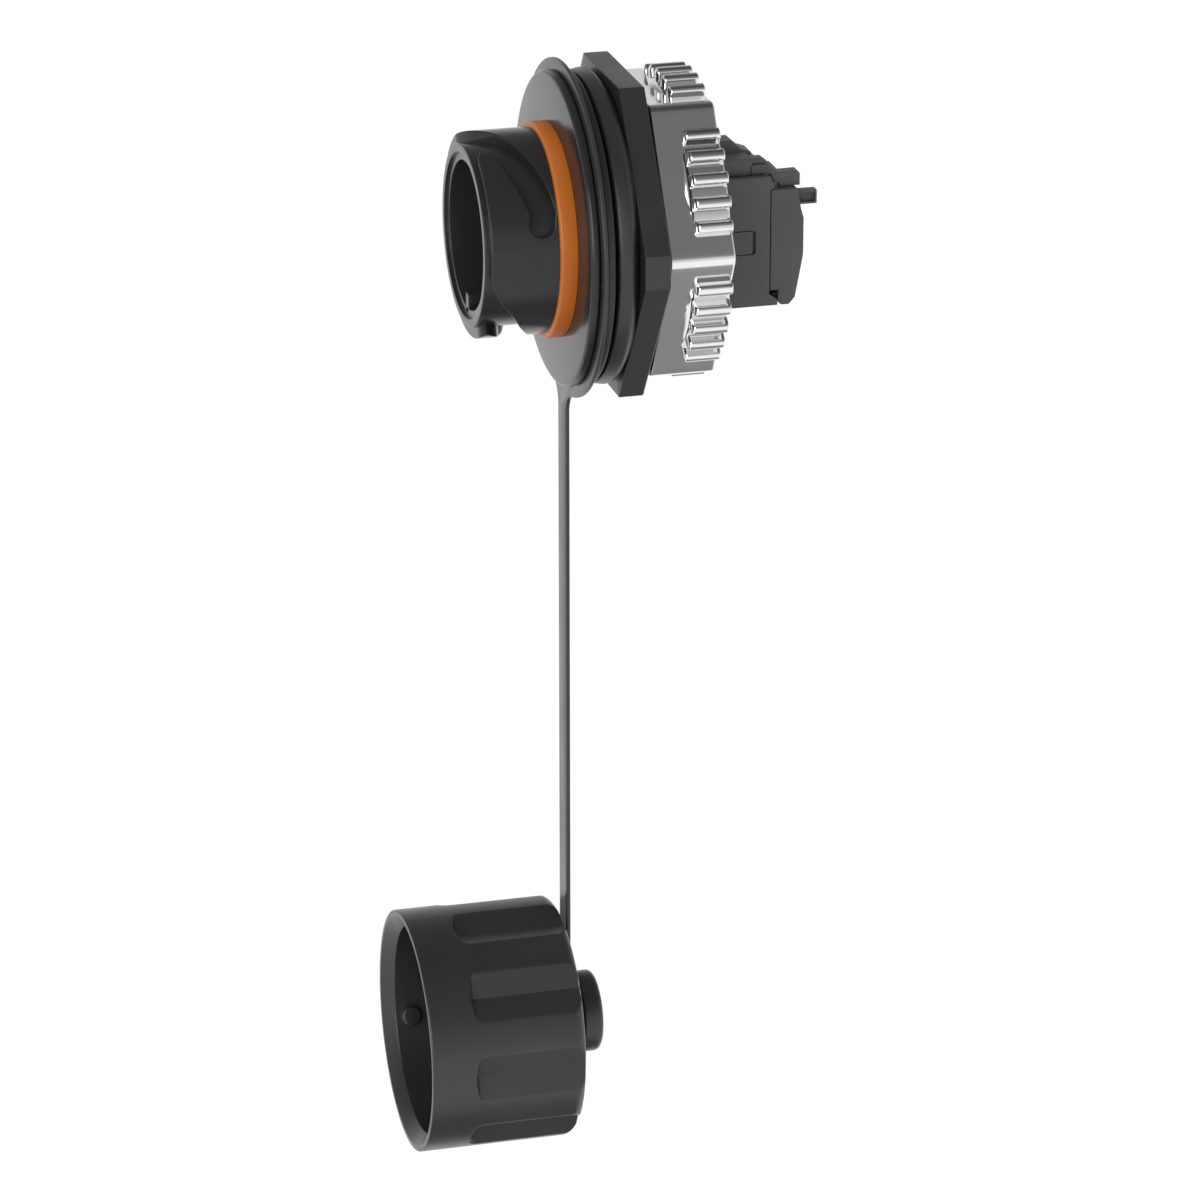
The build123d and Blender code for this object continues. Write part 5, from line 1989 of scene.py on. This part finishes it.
    def _tab(self, shop: Workshop) -> bpy.types.Object:
        """Make the lifting tab with its pocket, and the hinge's pins.

        Args:
            shop: Shared tools.

        Returns:
            The piece that holds them.
        """
        side, inner, rear = self.half_width, self.inner, self.cover_rear
        start, end = rear - self.tab_root, node_span("rear_cover")[1].y
        far, near = self.tab_side
        bottom, top = self.tab_heights
        extras = Draft()
        extras.block((side - far, start, bottom), (side - near, end, top), 0.12, 0.12)
        for way in (-1, 1):
            ends = sorted((way * (inner - self.pin_reach[0]), way * (inner + self.pin_reach[1])))
            extras.prism(sharp(arc(self.pivot, self.pin_r, 0, 340, 17)), Side.ALONG_X, *ends, 0.05, 2)
        tab = shop.make(extras, "rear_door_tab", "rear_cover")
        root, tip = self.pocket_ends
        bottom, top = self.pocket_heights
        low = (side - self.pocket_depth, start + root, bottom)
        pocket = Draft()
        pocket.block(low, (side + 1, end - tip, top), 0.02, 0.05)
        cut_away(tab, pocket)
        return tab

    def _cover(self, shop: Workshop) -> None:
        """Make the rear cover with its cable entry, its tab and its pins.

        Args:
            shop: Shared tools.
        """
        w, inner = self.half_width, self.inner
        door = Draft()
        door.prism(self._cover_outline(), Side.ALONG_X, -w, w, 0.14, 4)
        piece = shop.make(door, "rear_door", "rear_cover")
        back = self.cover_rear - self.back_lean - self.wall
        room = Draft()
        low = (-inner, self.rear - 1, self.bottom - 1)
        room.block(low, (inner, back, self.cover_top - self.wall), 0.05, 0.2)
        cut_away(piece, room)
        hole = Draft()
        hole.rod(self.cable_r, self.rear, self.cover_rear + 1, 64, (0, self.cable_z))
        cut_away(piece, hole)
        knuckle = sharp(arc(self.pivot, self.knuckle_room_r, 0, 345, 23))
        hole = Draft()
        hole.prism(knuckle, Side.ALONG_X, -inner, inner, 0.02, 1)
        cut_away(piece, hole)
        tab = self._tab(shop)
        shop.settle(piece, Body.REAR_COVER, "rear_cover")
        shop.settle(tab, Body.REAR_COVER, "rear_cover")

    def build(self, shop: Workshop) -> None:
        """Make the three shells."""
        self._lower(shop)
        self._upper(shop)
        self._cover(shop)


@dataclass(frozen=True)
class Softbox:
    """Square studio lamp.

    Attributes:
        name: Name of the lamp.
        place: Its centre, in metres.
        size: Its edge, in metres.
        power: Its power, in watts.
        mirrored: Whether reflections show it.
    """

    name: str
    place: Point3
    size: float
    power: float
    mirrored: bool = False

    def build(self, target: Vector) -> None:
        """Make the lamp.

        Args:
            target: Point that it shines at.
        """
        light = bpy.data.lights.new(self.name, "AREA")
        light.shape = "SQUARE"
        light.size = self.size
        light.energy = self.power
        lamp = bpy.data.objects.new(self.name, light)
        lamp.visible_glossy = self.mirrored
        away = Vector(self.place) - target
        lamp.location = self.place
        lamp.rotation_euler = away.to_track_quat("Z", "Y").to_euler()
        bpy.context.scene.collection.objects.link(lamp)


@dataclass(frozen=True)
class Studio:
    """White floor, soft lamps and the camera.

    Attributes:
        target: Point that the camera looks at, in metres.
        heading: Camera's direction from the target, from +X towards -Y, in degrees.
        elevation: Camera's height angle, in degrees.
        distance: Camera's distance from the target, in metres.
        lens, sensor: Focal length and width of the sensor, in millimetres.
        floor_z, floor_reach: Height of the floor and half its width, in metres.
        floor_tone: Base colour of the floor, a grey.
        floor_glow: Brightness of the floor where it is seen.
        floor_dim: Two rises between which a reflection of the floor grows dim, and its
            brightness past them.
        floor_share: Share of the glow in what is seen of the floor. The rest is its shadow.
        surround: Strength of the light from the surroundings.
        ceiling: Rise and brightness of the surroundings above, as reflections show them.
        lamps: Soft lamps.
    """

    target: Point3 = (0.0, 0.003031, -0.048631)
    heading: float = 14.796
    elevation: float = 21.028
    distance: float = 0.6638
    lens: float = 160.21
    sensor: float = 36.0
    floor_z: float = -0.19
    floor_reach: float = 6.0
    floor_tone: float = 0.85
    floor_glow: float = 1.05
    floor_dim: Point3 = (0.80, 0.95, 0.16)
    floor_share: float = 0.88
    surround: float = 0.55
    ceiling: tuple[Point2, ...] = ((0.18, 0.9), (0.45, 0.34), (0.75, 0.20), (1.0, 0.07))
    lamps: tuple[Softbox, ...] = (
        Softbox("key", (0.75, -0.65, 0.25), 0.7, 5.0, True),
        Softbox("fill", (0.5, 0.9, -0.02), 0.8, 3.0),
        Softbox("top", (-0.1, 0.0, 0.9), 0.9, 4.0),
    )

    def _camera(self) -> None:
        """Place the camera at the reference angle."""
        turn, rise = math.radians(self.heading), math.radians(self.elevation)
        flat = math.cos(rise)
        towards = Vector((flat * math.cos(turn), -flat * math.sin(turn), math.sin(rise)))
        data = bpy.data.cameras.new("camera")
        data.lens = self.lens
        data.sensor_width = self.sensor
        data.sensor_fit = "HORIZONTAL"
        data.clip_start = 0.05
        camera = bpy.data.objects.new("camera", data)
        camera.location = Vector(self.target) + towards * self.distance
        camera.rotation_euler = towards.to_track_quat("Z", "Y").to_euler()
        bpy.context.scene.collection.objects.link(camera)
        bpy.context.scene.camera = camera

    @staticmethod
    def _seen_rays(tree: bpy.types.NodeTree) -> bpy.types.NodeSocket:
        """Mask of camera, glossy and transmission rays.

        Args:
            tree: Shader tree that gets the nodes.

        Returns:
            Socket that is 1 for those rays.
        """
        path = tree.nodes.new("ShaderNodeLightPath")
        first = math_node(tree.nodes, "MAXIMUM")
        second = math_node(tree.nodes, "MAXIMUM")
        tree.links.new(path.outputs["Is Camera Ray"], first.inputs[0])
        tree.links.new(path.outputs["Is Glossy Ray"], first.inputs[1])
        tree.links.new(first.outputs[0], second.inputs[0])
        tree.links.new(path.outputs["Is Transmission Ray"], second.inputs[1])
        return second.outputs[0]

    def _world(self) -> None:
        """White surroundings with a dimmer ceiling in reflections."""
        world = bpy.data.worlds.new("studio")
        world.use_nodes = True
        bpy.context.scene.world = world
        tree = world.node_tree
        nodes, links = tree.nodes, tree.links
        light = nodes["Background"]
        light.inputs["Color"].default_value = (1, 1, 1, 1)
        light.inputs["Strength"].default_value = self.surround
        seen = nodes.new("ShaderNodeBackground")
        place = nodes.new("ShaderNodeTexCoord")
        split = nodes.new("ShaderNodeSeparateXYZ")
        ceiling = nodes.new("ShaderNodeValToRGB")
        ramp = ceiling.color_ramp
        ramp.interpolation = "EASE"
        for rise, _ in self.ceiling[2:]:
            ramp.elements.new(rise)
        for element, (rise, shine) in zip(ramp.elements, self.ceiling):
            element.position = rise
            element.color = (shine, shine, shine, 1)
        path = nodes.new("ShaderNodeLightPath")
        level = math_node(nodes, "MAXIMUM")
        links.new(place.outputs["Generated"], split.inputs[0])
        links.new(split.outputs["Z"], ceiling.inputs["Fac"])
        links.new(ceiling.outputs["Color"], level.inputs[0])
        links.new(path.outputs["Is Camera Ray"], level.inputs[1])
        links.new(level.outputs[0], seen.inputs["Strength"])
        mix = nodes.new("ShaderNodeMixShader")
        links.new(self._seen_rays(tree), mix.inputs[0])
        links.new(light.outputs[0], mix.inputs[1])
        links.new(seen.outputs[0], mix.inputs[2])
        links.new(mix.outputs[0], nodes["World Output"].inputs["Surface"])

    def _floor(self) -> None:
        """White floor that keeps a faint shadow."""
        made = bpy.data.materials.new("floor_white")
        made.use_nodes = True
        tree = made.node_tree
        nodes, links = tree.nodes, tree.links
        surface = nodes["Principled BSDF"]
        surface.inputs["Base Color"].default_value = (*[self.floor_tone] * 3, 1)
        surface.inputs["Roughness"].default_value = 0.9
        glow = nodes.new("ShaderNodeEmission")
        path = nodes.new("ShaderNodeLightPath")
        place = nodes.new("ShaderNodeNewGeometry")
        split = nodes.new("ShaderNodeSeparateXYZ")
        links.new(place.outputs["Incoming"], split.inputs[0])
        steep = nodes.new("ShaderNodeMapRange")
        steep.interpolation_type = "SMOOTHSTEP"
        low, high, dim = self.floor_dim
        set_inputs(steep, From_Min=low, From_Max=high, To_Min=self.floor_glow, To_Max=dim)
        links.new(split.outputs["Z"], steep.inputs["Value"])
        level = nodes.new("ShaderNodeMix")
        level.inputs["B"].default_value = self.floor_glow
        links.new(path.outputs["Is Camera Ray"], level.inputs["Factor"])
        links.new(steep.outputs["Result"], level.inputs["A"])
        links.new(level.outputs["Result"], glow.inputs["Strength"])
        share = math_node(nodes, "MULTIPLY")
        share.inputs[1].default_value = self.floor_share
        mix = nodes.new("ShaderNodeMixShader")
        links.new(self._seen_rays(tree), share.inputs[0])
        links.new(share.outputs[0], mix.inputs[0])
        links.new(surface.outputs[0], mix.inputs[1])
        links.new(glow.outputs[0], mix.inputs[2])
        links.new(mix.outputs[0], nodes["Material Output"].inputs["Surface"])
        r, z = self.floor_reach, self.floor_z
        mesh = bpy.data.meshes.new("floor")
        mesh.from_pydata([(-r, -r, z), (r, -r, z), (r, r, z), (-r, r, z)], [], [(0, 1, 2, 3)])
        mesh.materials.append(made)
        floor = bpy.data.objects.new("floor", mesh)
        bpy.context.scene.collection.objects.link(floor)

    def build(self) -> None:
        """Set up the camera, the surroundings, the floor and the lamps."""
        bpy.context.scene.view_settings.view_transform = "Standard"
        self._camera()
        self._world()
        self._floor()
        for lamp in self.lamps:
            lamp.build(Vector(self.target))
        log.info("studio ready with %d lamps", len(self.lamps))


def build_barrel(shop: Workshop) -> None:
    """Make the moulded body from the frame's stations.

    Args:
        shop: Shared tools.
    """
    low, high = node_span("jack_body")
    seal_low, seal_high = node_span("coupling_seal")
    hub_rear = node_span("panel_seal")[0].y
    barrel = Barrel(low.y, high.y, seal_low.y, seal_high.y, hub_rear, high.x)
    barrel.build(shop)


def build_cap(shop: Workshop) -> None:
    """Make the cap and its strap from the frame's stations.

    Args:
        shop: Shared tools.
    """
    low, high = node_span("cap_body")
    drop = -(low.z + high.z) / 2
    Tether(drop=drop).build(shop)
    Cap(drop=drop, front=low.y, knob_end=high.y).build(shop)


def build_module(shop: Workshop) -> None:
    """Make the module's shells from the frame's stations.

    Args:
        shop: Shared tools.
    """
    low, high = node_span("module_lower")
    hinge = next(joint for joint in frame["joints"] if joint["name"] == "cover_open")
    pivot = (hinge["pos_m"][1] / MM, hinge["pos_m"][2] / MM)
    Module(front=low.y, bottom=low.z, part_line=high.z, pivot=pivot).build(shop)


def main() -> None:
    """Build the studio and every sub-assembly in order."""
    logging.basicConfig(level=logging.INFO, format="%(message)s")
    Studio().build()
    shop = Workshop()
    shop.dress_rest()
    build_barrel(shop)
    Rings().build(shop)
    PanelNut().build(shop)
    MetalNut().build(shop)
    build_cap(shop)
    build_module(shop)


if __name__ == "__main__":
    main()
